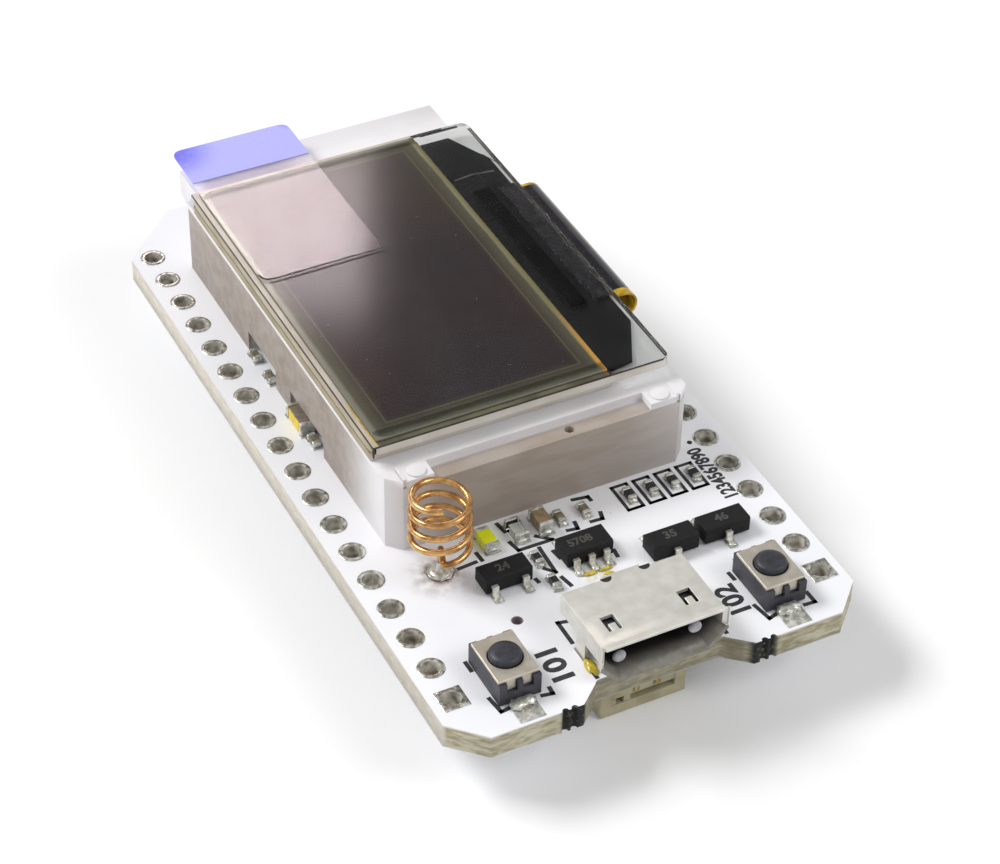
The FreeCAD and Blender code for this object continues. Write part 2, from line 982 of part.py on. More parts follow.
def make_legged_chips():
    level = seat + sot_standoff + sot_height / 2 - leg_thickness / 2
    bodies = []
    legs = []
    for x, inset, way in transistor_places:
        y = front_edge + inset
        bodies.append(chip_body(sot_length, sot_width, sot_height, x, y))
        legs.append(gull_leg(x, y + way * sot_width / 2, way, level))
        for side in (-1, 1):
            legs.append(gull_leg(x + side * leg_pitch, y - way * sot_width / 2, -way, level))
    keep("transistor_bodies", *bodies)
    keep("transistor_legs", *legs)

    y = front_edge + charger_inset
    keep("charger_chip", chip_body(sot_length, charger_width, sot_height, charger_x, y))
    legs = []
    for step in (-1, 0, 1):
        legs.append(gull_leg(charger_x + step * leg_pitch, y - charger_width / 2, -1, level))
    for step in (-1, 1):
        legs.append(gull_leg(charger_x + step * leg_pitch, y + charger_width / 2, 1, level))
    keep("charger_chip_legs", *legs)

    y = bracket_middle + regulator_y
    keep("voltage_regulator", chip_body(sot_length, charger_width, sot_height, regulator_x, y))
    legs = []
    for step in (-1, 0, 1):
        legs.append(gull_leg(regulator_x + step * leg_pitch, y - charger_width / 2, -1, level))
    for step in (-1, 1):
        legs.append(gull_leg(regulator_x + step * leg_pitch, y + charger_width / 2, 1, level))
    keep("voltage_regulator_legs", *legs)


def chip_part(size, x, y):
    """A two-ended part that lies along the board: its body and its two metal ends."""
    length, width, height = size
    core = block(
        width, length - 2 * terminal_cap, height - terminal_skin, x, y, seat
    )
    ends = []
    for side in (-1, 1):
        end_y = y + side * (length - terminal_cap) / 2
        ends.append(block(width + terminal_skin, terminal_cap, height, x, end_y, seat))
    return core, ends


def make_chip_parts():
    ends = []
    pads = []

    def place(size, x, y):
        core, pair = chip_part(size, x, y)
        ends.extend(pair)
        length, width, height = size
        for side in (-1, 1):
            pad_y = y + side * (length / 2 - chip_pad_shift)
            pad_width = width + chip_pad_margin
            pads.append(block(pad_width, chip_pad_length, pad_thickness, x, pad_y, board_top))
        return core

    resistors = []
    for index in range(resistor_count):
        resistors.append(place(small_chip, resistor_first_x + index * resistor_pitch, chip_row))
    for x, inset in side_resistors:
        resistors.append(place(small_chip, x, front_edge + inset))
    keep("chip_resistors", *resistors)
    capacitors = [place(small_chip, x, chip_row) for x in capacitor_xs]
    edge_x = -bracket_width / 2
    for inset in edge_capacitors:
        capacitors.append(place(small_chip, edge_x, front_edge + inset))
    keep("chip_capacitors", *capacitors)
    keep("yellow_status_lamp", place(lamp_chip, yellow_lamp_x, chip_row))
    keep("clear_status_lamp", place(lamp_chip, clear_lamp_x, chip_row))
    keep("large_capacitor", place(large_chip, large_capacitor_x, chip_row))
    inductor = (inductor_length, inductor_width, inductor_height)
    keep("edge_inductor", place(inductor, edge_x, front_edge + inductor_inset))
    keep("chip_part_ends", *ends)
    return pads


def make_pads(chip_pads):
    """Tinned pads on the top face: under the switches, legs, antenna, ribbon and socket tails."""
    pads = list(chip_pads)
    switch_y = front_edge + switch_inset
    pad_width = terminal_width + 2 * terminal_pad_margin
    for x in (-switch_x, switch_x):
        for side, reach in ((-1, front_pad_reach), (1, far_pad_reach)):
            pad_length = terminal_reach + reach + 2 * terminal_pad_margin
            start = switch_length / 2 - 2 * terminal_pad_margin
            y = switch_y + side * (start + pad_length / 2)
            pads.append(block(pad_width, pad_length, pad_thickness, x, y, board_top))
    leg_out = leg_reach - leg_foot / 2

    def leg_pad(x, y):
        pads.append(block(leg_pad_width, leg_pad_length, pad_thickness, x, y, board_top))

    for x, inset, way in transistor_places:
        y = front_edge + inset
        leg_pad(x, y + way * (sot_width / 2 + leg_out))
        for side in (-1, 1):
            leg_pad(x + side * leg_pitch, y - way * (sot_width / 2 + leg_out))
    five_legged = (
        (charger_x, front_edge + charger_inset),
        (regulator_x, bracket_middle + regulator_y),
    )
    for x, y in five_legged:
        for step in (-1, 0, 1):
            leg_pad(x + step * leg_pitch, y - charger_width / 2 - leg_out)
        for step in (-1, 1):
            leg_pad(x + step * leg_pitch, y + charger_width / 2 + leg_out)
    memory_middle = bracket_middle + memory_y
    for side in (-1, 1):
        for index in range(4):
            x = memory_x + (index - 1.5) * memory_pitch
            leg_pad(x, memory_middle + side * (memory_width / 2 + leg_out))
    coil_pad = flat_sided(ring_sides, coil_pad_radius, coil_x, front_edge + coil_inset)
    pads.append(plate(coil_pad, pad_thickness, board_top))
    usb_back = front_edge + usb_inset + usb_length
    for index in range(usb_contact_count):
        x = (index - (usb_contact_count - 1) / 2) * usb_contact_pitch
        pads.append(
            block(usb_pad_width, usb_tail, pad_thickness, x, usb_back + usb_tail / 2, board_top)
        )
    foot_end = flex_turn_x - flex_return - 2 * flex_bend - flex_thickness
    foot_x = foot_end - flex_foot / 2
    pads.append(
        block(flex_foot, flex_width, pad_thickness, foot_x, glass_middle, board_top)
    )
    chip_seats = (
        (main_chip_size, main_chip_x, main_chip_y),
        (serial_chip_size, serial_chip_x, serial_chip_y),
    )
    for size, x, y in chip_seats:
        pads.append(block(size, size, pad_thickness, x, bracket_middle + y, board_top))
    pads.append(
        block(
            crystal_width, crystal_length, pad_thickness, crystal_x, bracket_middle + crystal_y, board_top
        )
    )
    keep("solder_pads", *pads)


def make_hidden_chips():
    y = bracket_middle
    keep(
        "main_chip",
        chamfered_sheet(
            main_chip_size, main_chip_size, main_chip_height, main_chip_x, y + main_chip_y, seat
        ),
    )
    keep(
        "usb_serial_chip",
        chamfered_sheet(
            serial_chip_size,
            serial_chip_size,
            serial_chip_height,
            serial_chip_x,
            y + serial_chip_y,
            seat,
        ),
    )
    keep("memory_chip", chip_body(memory_length, memory_width, memory_height, memory_x, y + memory_y))
    level = seat + sot_standoff + memory_height / 2
    legs = []
    for side in (-1, 1):
        for index in range(4):
            x = memory_x + (index - 1.5) * memory_pitch
            legs.append(gull_leg(x, y + memory_y + side * memory_width / 2, side, level))
    keep("memory_chip_legs", *legs)
    keep(
        "main_crystal",
        chamfered_sheet(
            crystal_width, crystal_length, crystal_height, crystal_x, y + crystal_y, seat
        ),
    )


def make_underside():
    level = board_bottom - radio_chip_height
    keep(
        "radio_chip",
        chamfered_sheet(
            radio_chip_size,
            radio_chip_size,
            radio_chip_height,
            radio_chip_x,
            can_y + radio_chip_y,
            level,
        ),
    )
    crystal_level = board_bottom - crystal_height
    keep(
        "radio_crystal",
        chamfered_sheet(
            crystal_width,
            crystal_length,
            crystal_height,
            radio_crystal_x,
            can_y + radio_chip_y,
            crystal_level,
        ),
    )
    can_level = board_bottom - can_height
    can = chamfered_sheet(can_width, can_length, can_height, 0, can_y, can_level)
    room = block(
        can_width - 2 * can_sheet,
        can_length - 2 * can_sheet,
        can_height - can_sheet,
        0,
        can_y,
        can_level + can_sheet,
    )
    keep("shield_can", can.cut(room))

    x = antenna_socket_x
    y = antenna_socket_y
    size = antenna_base_size
    base_level = board_bottom - antenna_base_thickness
    keep("antenna_socket_base", block(size, size, antenna_base_thickness, x, y, base_level))
    ring_low = base_level - antenna_ring_height
    ring = rod(antenna_ring_radius, antenna_ring_height, x, y, ring_low)
    bore = rod(antenna_ring_radius - antenna_ring_wall, antenna_ring_height, x, y, ring_low)
    keep("antenna_socket_ring", ring.cut(bore))
    pin = flat_sided(ring_sides, antenna_pin_radius, x, y)
    keep("antenna_socket_pin", plate(pin, antenna_pin_height, base_level - antenna_pin_height))


def make_battery_socket():
    mouth = front_edge + battery_inset
    middle = mouth + battery_depth / 2
    back = mouth + battery_depth
    housing = block(battery_width, battery_depth, battery_height, 0, middle, 0)
    cavity_width = battery_width - 2 * battery_wall
    cavity_height = battery_height - 2 * battery_wall
    cavity = block(
        cavity_width,
        battery_cavity_depth,
        cavity_height,
        0,
        mouth + battery_cavity_depth / 2,
        battery_wall,
    )
    key_reach = battery_cavity_depth / 2
    keyway = block(battery_key_width, key_reach, battery_height, 0, mouth, battery_height / 2)
    pins = []
    sleeves = []
    size = battery_pin_size
    pin_level = battery_height / 2 - size / 2
    pin_start = mouth + battery_pin_inset
    for side in (-1, 1):
        x = side * battery_pin_pitch / 2
        length = back - pin_start
        shaft = block(size, length, size, x, pin_start + length / 2, pin_level)
        riser = block(
            size,
            size,
            under_seat - pin_level,
            x,
            back + size / 2,
            pin_level,
        )
        tail = block(size, battery_tail, size / 2, x, back + battery_tail / 2, under_seat - size / 2)
        pins.append(fused([shaft, riser, tail]))
        sleeves.append(shaft)
    tabs = []
    for side in (-1, 1):
        reach = battery_tab_width
        tab_x = side * (battery_width / 2 + reach / 2)
        tab_level = under_seat - battery_tab_thickness
        tab_y = mouth + battery_tab_depth / 2 + battery_tab_inset
        foot = block(reach, battery_tab_depth, battery_tab_thickness, tab_x, tab_y, tab_level)
        blade_x = side * (battery_width / 2 + battery_tab_thickness / 2)
        blade_height = battery_height / 2
        blade = block(
            battery_tab_thickness,
            battery_tab_depth,
            blade_height,
            blade_x,
            tab_y,
            under_seat - blade_height,
        )
        tabs.append(fused([foot, blade]))
    keep("battery_socket_housing", cut_all(housing, [cavity, keyway] + sleeves))
    keep("battery_socket_pins", *pins)
    keep("battery_socket_tabs", *tabs)


def write_nodes():
    os.makedirs("parts", exist_ok=True)
    for name, shape in nodes.items():
        shape.exportStep("parts/" + name + ".step")


def main():
    make_board()
    make_header_rings()
    make_bracket()
    make_panel()
    make_film_and_tab()
    make_flex()
    make_coil()
    make_usb()
    make_switch("left", -switch_x)
    make_switch("right", switch_x)
    make_legged_chips()
    make_pads(make_chip_parts())
    make_hidden_chips()
    make_underside()
    make_battery_socket()
    write_nodes()


main()
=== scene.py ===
import math

import bmesh
import bpy
from bpy.props import FloatProperty, FloatVectorProperty, IntProperty, PointerProperty
from mathutils import Matrix, Vector, noise


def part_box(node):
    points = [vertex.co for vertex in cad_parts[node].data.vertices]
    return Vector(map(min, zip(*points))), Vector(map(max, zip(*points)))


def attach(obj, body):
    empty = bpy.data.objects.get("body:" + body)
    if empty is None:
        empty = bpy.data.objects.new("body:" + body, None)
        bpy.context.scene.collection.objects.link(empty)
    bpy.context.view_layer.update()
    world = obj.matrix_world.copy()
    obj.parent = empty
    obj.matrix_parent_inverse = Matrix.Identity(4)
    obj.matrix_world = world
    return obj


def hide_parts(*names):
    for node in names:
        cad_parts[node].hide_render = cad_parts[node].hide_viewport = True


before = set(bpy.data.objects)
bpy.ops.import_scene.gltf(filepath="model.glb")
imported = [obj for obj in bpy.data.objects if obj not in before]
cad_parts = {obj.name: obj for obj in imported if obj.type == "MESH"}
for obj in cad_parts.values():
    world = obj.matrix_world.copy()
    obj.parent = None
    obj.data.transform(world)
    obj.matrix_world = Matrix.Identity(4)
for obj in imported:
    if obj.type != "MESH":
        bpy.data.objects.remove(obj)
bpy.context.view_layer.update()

bl_info = {
    "name": "Radio board with a small display",
    "version": (1, 0, 0),
    "blender": (4, 5, 0),
    "location": "3D View > Sidebar > Radio Board",
    "description": "Dresses a white radio board with a display, a coil aerial and a charging socket",
    "category": "Object",
}

MM = 0.001
BOARD = "board_assembly"

# Levels and places that several pieces share, in millimetres
TOP = 4.9
SEAT = 4.96
UNDER = 3.3
ROW_X = 11.43
ROW_START = -22.1
ROW_PITCH = 2.54
SWITCH_Y = -21.9
CHIP_ROW_Y = -12.08
INK_RISE = 0.012


def span(node):
    """A solid's lowest and highest corners in millimetres."""
    low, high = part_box(node)
    return low / MM, high / MM


def paint(code):
    """A colour written as it is seen, in the numbers that a shader takes."""
    parts = [int(code[start:start + 2], 16) / 255 for start in (1, 3, 5)]
    return tuple(p / 12.92 if p <= 0.04045 else ((p + 0.055) / 1.055) ** 2.4 for p in parts)


class RadioBoardSizes(bpy.types.PropertyGroup):
    """Sizes that can be set by hand."""

    wire_radius: FloatProperty(
        name="Aerial wire radius", description="Half the thickness of the coil's wire",
        default=0.00019, unit="LENGTH", subtype="DISTANCE", precision=6,
    )
    coil_radius: FloatProperty(
        name="Coil radius", description="From the coil's middle to the middle of its wire",
        default=0.00168, unit="LENGTH", subtype="DISTANCE", precision=6,
    )
    coil_turns: FloatProperty(
        name="Coil turns", description="How often the wire goes round", default=4.0,
    )
    ring_radius: FloatProperty(
        name="Ring radius", description="Outside radius of the tinned ring at a header hole",
        default=0.00078, unit="LENGTH", subtype="DISTANCE", precision=6,
    )
    holes_per_row: IntProperty(
        name="Holes in a row", description="Header holes along each side", default=18,
    )
    dust_specks: IntProperty(
        name="Dust specks", description="Specks of dust that lie on the display", default=46,
    )


class RadioBoardColours(bpy.types.PropertyGroup):
    """Colours that can be set by hand."""

    board: FloatVectorProperty(
        name="Board", description="The board's printed coating", subtype="COLOR",
        default=paint("#F2F3F8"), min=0.0, max=1.0,
    )
    grip: FloatVectorProperty(
        name="Pull tab", description="The grip that peels the film off", subtype="COLOR",
        default=paint("#ACACF2"), min=0.0, max=1.0,
    )
    copper: FloatVectorProperty(
        name="Aerial", description="The coil's lacquered copper", subtype="COLOR",
        default=paint("#ECBB78"), min=0.0, max=1.0,
    )
    lamp: FloatVectorProperty(
        name="Yellow lamp", description="The lens of the yellow status lamp", subtype="COLOR",
        default=paint("#E2F20A"), min=0.0, max=1.0,
    )


# Finishes

class Wire:
    """A shader value that adds Math nodes when it takes part in a sum."""

    def __init__(self, finish, socket):
        self.finish = finish
        self.socket = socket

    def joined(self, operation, *values):
        return self.finish.node("ShaderNodeMath", {"operation": operation}, *values)

    def __add__(self, other):
        return self.joined("ADD", self, other)

    def __sub__(self, other):
        return self.joined("SUBTRACT", self, other)

    def __rsub__(self, other):
        return self.joined("SUBTRACT", other, self)

    def __mul__(self, other):
        return self.joined("MULTIPLY", self, other)

    def __pow__(self, other):
        return self.joined("POWER", self, other)

    def __abs__(self):
        return self.joined("ABSOLUTE", self)

    __radd__ = __add__
    __rmul__ = __mul__

    def least(self, other):
        return self.joined("MINIMUM", self, other)

    def most(self, other):
        return self.joined("MAXIMUM", self, other)

    def ramp(self, start, end):
        """0 before start and 1 after end, with a smooth way between."""
        settings = {"interpolation_type": "SMOOTHSTEP"}
        return self.finish.node("ShaderNodeMapRange", settings, self, start, end, 0.0, 1.0)


class Finish:
    """One material, with its pattern in millimetres of the object's own space."""

    made = {}

    def __init__(self, name):
        self.material = bpy.data.materials.new(name)
        self.material.use_nodes = True
        self.tree = self.material.node_tree
        self.shader = self.tree.nodes["Principled BSDF"]
        coordinates = self.tree.nodes.new("ShaderNodeTexCoord")
        self.point = self.node(
            "ShaderNodeVectorMath", {"operation": "SCALE"},
            Wire(self, coordinates.outputs["Object"]), named={"Scale": 1 / MM},
        )
        Finish.made[name] = self.material

    def node(self, kind, settings, *values, named=None, out=0):
        """Adds a node; settings come first, then its inputs by order or by name."""
        node = self.tree.nodes.new(kind)
        for key, value in settings.items():
            setattr(node, key, value)
        pairs = list(zip(node.inputs, values))
        pairs += [(node.inputs[key], value) for key, value in (named or {}).items()]
        for socket, value in pairs:
            self.feed(socket, value)
        return Wire(self, node.outputs[out])

    def feed(self, socket, value):
        if isinstance(value, Wire):
            self.tree.links.new(value.socket, socket)
        elif socket.type == "RGBA" and len(value) == 3:
            socket.default_value = (*value, 1.0)
        else:
            socket.default_value = value

    def axes(self):
        parts = self.node("ShaderNodeSeparateXYZ", {}, self.point).socket.node.outputs
        return [Wire(self, socket) for socket in parts]

    def cloud(self, size, detail=2.0, stretch=None, contrast=0.0):
        """Noise whose patches are about size millimetres across, from 0 to 1."""
        point = self.point
        if stretch:
            point = self.node("ShaderNodeVectorMath", {"operation": "MULTIPLY"}, point, stretch)
        named = {"Vector": point, "Scale": 1 / size, "Detail": detail}
        value = self.node("ShaderNodeTexNoise", {}, named=named)
        if contrast:
            value = value.ramp(0.5 - contrast, 0.5 + contrast)
        return value

    def cells(self, size, out="Distance"):
        node = self.node("ShaderNodeTexVoronoi", {}, named={"Vector": self.point, "Scale": 1 / size})
        return Wire(self, node.socket.node.outputs[out])

    def mixed(self, share, first, second):
        node = self.node("ShaderNodeMix", {"data_type": "RGBA"}, share).socket.node
        self.feed(node.inputs[6], first)
        self.feed(node.inputs[7], second)
        return Wire(self, node.outputs[2])

    def near(self, x, y, inner, outer):
        """1 close to a place on the board and 0 away from it."""
        across, along, _ = self.axes()
        away = ((across - x) ** 2.0 + (along - y) ** 2.0) ** 0.5
        return 1 - away.ramp(inner, outer)

    def colour(self, value):
        self.feed(self.shader.inputs["Base Color"], value)

    def rough(self, value):
        self.feed(self.shader.inputs["Roughness"], value)

    def bumps(self, height, strength, depth=0.02):
        named = {"Strength": strength, "Distance": depth * MM, "Height": height}
        bump = self.node("ShaderNodeBump", {}, named=named)
        self.feed(self.shader.inputs["Normal"], bump)

    def set(self, **constants):
        for key, value in constants.items():
            self.feed(self.shader.inputs[key.replace("_", " ")], value)


def worn(name, code, dark, rough, metal=0.0, patch=1.2, grain=0.12, bump=0.25, **constants):
    """A finish whose colour drifts between two tones, with grain in its gloss and relief."""
    finish = Finish(name)
    base = paint(code) if isinstance(code, str) else tuple(code)
    drift = finish.cloud(patch, 3.0, contrast=0.25)
    finish.colour(finish.mixed(drift, base, paint(dark)))
    fine = finish.cloud(grain, 3.0)
    finish.rough(rough + (fine - 0.5) * (0.5 * rough))
    finish.bumps(fine, bump)
    finish.set(Metallic=metal, **constants)
    return finish.material


def board_coating(colour):
    """White coating over the copper, with flux that browned it round the aerial's joint."""
    finish = Finish("board_coating")
    drift = finish.cloud(6.0, 2.0, contrast=0.3)
    base = finish.mixed(drift, tuple(colour), paint("#F8F8FB"))
    smear = finish.cloud(0.9, 4.0, contrast=0.16)
    stain = finish.near(-7.9, -13.2, 0.75, 2.3) * smear
    base = finish.mixed(stain * 0.55, base, paint("#8A7568"))
    ring = finish.near(-7.7, -13.0, 0.8, 1.15) * finish.cloud(0.5, 3.0, contrast=0.2)
    base = finish.mixed(ring * 0.85, base, paint("#5F4433"))
    joint = finish.near(0.2, -17.0, 0.3, 1.5) * finish.cloud(0.35, 3.0, contrast=0.12)
    base = finish.mixed(joint * 0.45, base, paint("#C9C26A"))
    specks = (1 - finish.cells(1.6).ramp(0.015, 0.035)) * finish.cloud(3.0, 1.0, contrast=0.1)
    finish.colour(finish.mixed(specks * 0.6, base, paint("#6F6A66")))
    tracks = finish.cells(2.3, "Color")
    relief = finish.node("ShaderNodeSeparateColor", {}, tracks)
    finish.bumps(relief, 0.15, 0.012)
    finish.rough(0.32 + finish.cloud(1.5, 3.0) * 0.16)
    finish.set(Specular_IOR_Level=0.4)
    return finish.material


def laminate_edge():
    """The board's sawn edge: glass cloth in resin, with char where it was snapped off and painted shade in
    the bay under the socket.
    """
    finish = Finish("laminate_edge")
    _, _, level = finish.axes()
    cloth = finish.cloud(0.22, 3.0, stretch=(0.35, 0.35, 3.2), contrast=0.25)
    base = finish.mixed(cloth, paint("#B5AE8F"), paint("#948C70"))
    pale = finish.cloud(0.5, 3.0, stretch=(0.6, 0.6, 2.0), contrast=0.12)
    base = finish.mixed(pale * 0.6, base, paint("#DDD8C2"))
    skin = (level.ramp(TOP - 0.14, TOP - 0.06)).most(1 - level.ramp(UNDER + 0.05, UNDER + 0.1))
    base = finish.mixed(skin * 0.8, base, paint("#EDEDEE"))
    across, along, _ = finish.axes()
    flank = 1 - across.ramp(-12.68, -12.5)
    base = finish.mixed(flank * 0.6, base, paint("#E3DCD6"))
    # Painted shade: the edge in the bay under the socket's overhang is darkened.
    bay = (1 - abs(across).ramp(4.6, 5.4)) * (1 - along.ramp(-24.6, -23.6))
    base = finish.mixed(bay * 0.75, base, paint("#75705C"))
    front = 1 - along.ramp(-25.15, -24.7)
    left = (1 - abs(across + 5.85).ramp(0.55, 0.95)) * front
    right = (1 - abs(across - 5.85).ramp(0.6, 1.0)) * front
    char = left.most(right) * finish.cloud(0.25, 2.0, contrast=0.3).ramp(-0.6, 0.4)
    finish.colour(finish.mixed(char, base, paint("#141315")))
    finish.rough(0.7 + finish.cloud(0.2, 2.0) * 0.15)
    finish.bumps(cloth, 0.6, 0.05)
    return finish.material


def display_face():
    """Dark polarising sheet with an olive rim and a reddish middle."""
    finish = Finish("display_face")
    low, high = span("polarizer")
    across, along, _ = finish.axes()
    right = high.x - across
    edges = (across - low.x).least(right).least(along - low.y).least(high.y - along)
    waver = finish.cloud(2.4, 3.0) * 0.5
    rim = 1 - (edges + waver).ramp(0.5, 1.9)
    drift = finish.cloud(9.0, 2.0, contrast=0.3)
    base = finish.mixed(drift, paint("#322D2F"), paint("#3A302D"))
    far = along.ramp(4.0, 17.0) * across.ramp(-6.0, 5.0)
    base = finish.mixed(far * 0.6, base, paint("#48433B"))
    base = finish.mixed(rim * 0.7, base, paint("#5C5A48"))
    line = 1 - abs(edges - 1.15).ramp(0.02, 0.09)
    base = finish.mixed(line * 0.3, base, paint("#77704F"))
    frost = (1 - (edges + waver * 0.5).ramp(0.28, 0.6)) * (0.35 + along.ramp(-4.0, 14.0) * 0.5)
    base = finish.mixed(frost, base, paint("#A9A797"))
    lip = 1 - right.ramp(0.14, 0.4)
    corner = 1 - (along - low.y).ramp(1.0, 7.5)
    amber = finish.mixed(corner, paint("#76704A"), paint("#C08D3A"))
    base = finish.mixed(lip, base, amber)
    finish.colour(base)
    finish.rough(0.12 + finish.cloud(0.7, 4.0) * 0.06)
    finish.bumps(finish.cloud(1.6, 3.0), 0.03, 0.01)
    return finish.material


def clear_sheet(name, tint, opacity, rough, gleam, metal):
    """A thin clear sheet; only its gloss and a little haze show."""
    finish = Finish(name)
    haze = finish.cloud(2.5, 4.0, contrast=0.25)
    finish.colour(finish.mixed(haze, paint(tint), paint("#FFFFFF")))
    slant = finish.node("ShaderNodeLayerWeight", {}, 0.5, out=1)
    share = finish.cloud(0.8, 4.0) * opacity + slant ** 2.8 * gleam
    finish.feed(finish.shader.inputs["Alpha"], share)
    finish.rough(rough + finish.cloud(0.35, 3.0) * 0.04)
    finish.set(Metallic=metal)
    return finish.material


def pane(name, tint, rough=0.02):
    """Cut glass, a little duller where it was handled."""
    finish = Finish(name)
    haze = finish.cloud(3.0, 3.0)
    finish.colour(finish.mixed(haze, paint(tint), paint("#FFFFFF")))
    finish.rough(rough + haze * 0.03)
    finish.bumps(finish.cloud(0.6, 2.0), 0.03, 0.01)
    finish.set(Transmission_Weight=1.0, IOR=1.5)
    return finish.material


def frosted_plastic():
    """Milky moulding that lets some light in, with glue that whitens it in patches and painted shade on its
    front and left walls.
    """
    finish = Finish("frosted_plastic")
    across, along, level = finish.axes()
    patches = finish.cloud(5.0, 2.0, contrast=0.2)
    base = finish.mixed(patches, paint("#F3EFF1"), paint("#FCFAFC"))
    # Painted shade: below the top, the front and left walls are mixed towards brown.
    low = 1 - level.ramp(9.42, 9.55)
    left = (1 - across.ramp(-9.5, -9.0)) * along.ramp(-9.5, -3.0)
    front = (1 - along.ramp(-9.6, -9.25)) * across.ramp(-9.8, -5.5) * (1 - across.ramp(4.0, 9.5) * 0.45)
    base = finish.mixed(front * low * (0.9 + patches * 0.1), base, paint("#AE9F91"))
    base = finish.mixed(left * low * (0.9 + patches * 0.1), base, paint("#97887A"))
    scuffs = finish.cloud(0.8, 4.0, stretch=(0.25, 1.0, 1.0), contrast=0.08)
    finish.colour(finish.mixed(scuffs * 0.08, base, paint("#FFFFFF")))
    finish.rough(0.3 + finish.cloud(0.4, 3.0) * 0.15)
    finish.bumps(finish.cloud(0.18, 3.0), 0.08, 0.02)
    finish.set(Transmission_Weight=0.15, IOR=1.46)
    return finish.material


def chip_resin():
    """Moulded chip body: black resin with painted glints for a fine sparkle."""
    finish = Finish("chip_resin")
    fine = finish.cloud(0.07, 3.0, contrast=0.2)
    base = finish.mixed(fine * 0.5, paint("#141314"), paint("#262527"))
    # Painted glints: small cells lightened in the colour.
    painted_glints = 1 - finish.cells(0.16).ramp(0.03, 0.09)
    finish.colour(finish.mixed(painted_glints * 0.25, base, paint("#6A696C")))
    finish.rough(0.5 + finish.cloud(0.4, 2.0) * 0.2)
    finish.bumps(fine, 0.3, 0.015)
    finish.set(Specular_IOR_Level=0.25)
    return finish.material


def shell_inside():
    """Steel inside the socket, lit at the lip and dark further in."""
    finish = Finish("shell_inside")
    _, along, _ = finish.axes()
    deep = along.ramp(-24.5, -23.3)
    grain = finish.cloud(0.5, 3.0, contrast=0.3)
    lit = finish.mixed(grain, paint("#8E8B83"), paint("#77736B"))
    finish.colour(finish.mixed(deep, lit, paint("#262423")))
    finish.rough(0.45 + grain * 0.1)
    finish.bumps(grain, 0.1)
    finish.set(Metallic=0.2)
    return finish.material


def pull_grip(colour):
    """Blue print under the film, deeper where the sheet ends."""
    finish = Finish("pull_grip")
    deep = finish.near(-9.3, 22.4, 0.3, 3.4).most(finish.near(-1.4, 22.4, 0.1, 0.8) * 0.5)
    grain = finish.cloud(0.3, 4.0, contrast=0.2)
    base = finish.mixed(deep, tuple(colour), paint("#5A5AE6"))
    finish.colour(finish.mixed(grain * 0.15, base, paint("#C9C9FA")))
    finish.rough(0.4 + grain * 0.1)
    finish.bumps(finish.cloud(2.0, 2.0), 0.1, 0.02)
    return finish.material


def amber_flux():
    finish = Finish("amber_flux")
    drift = finish.cloud(0.35, 3.0, contrast=0.2)
    finish.colour(finish.mixed(drift, paint("#F4E24A"), paint("#C6A82C")))
    finish.rough(0.12 + finish.cloud(0.3, 2.0) * 0.1)
    finish.bumps(drift, 0.3, 0.03)
    finish.set(Transmission_Weight=0.25, IOR=1.5)
    return finish.material


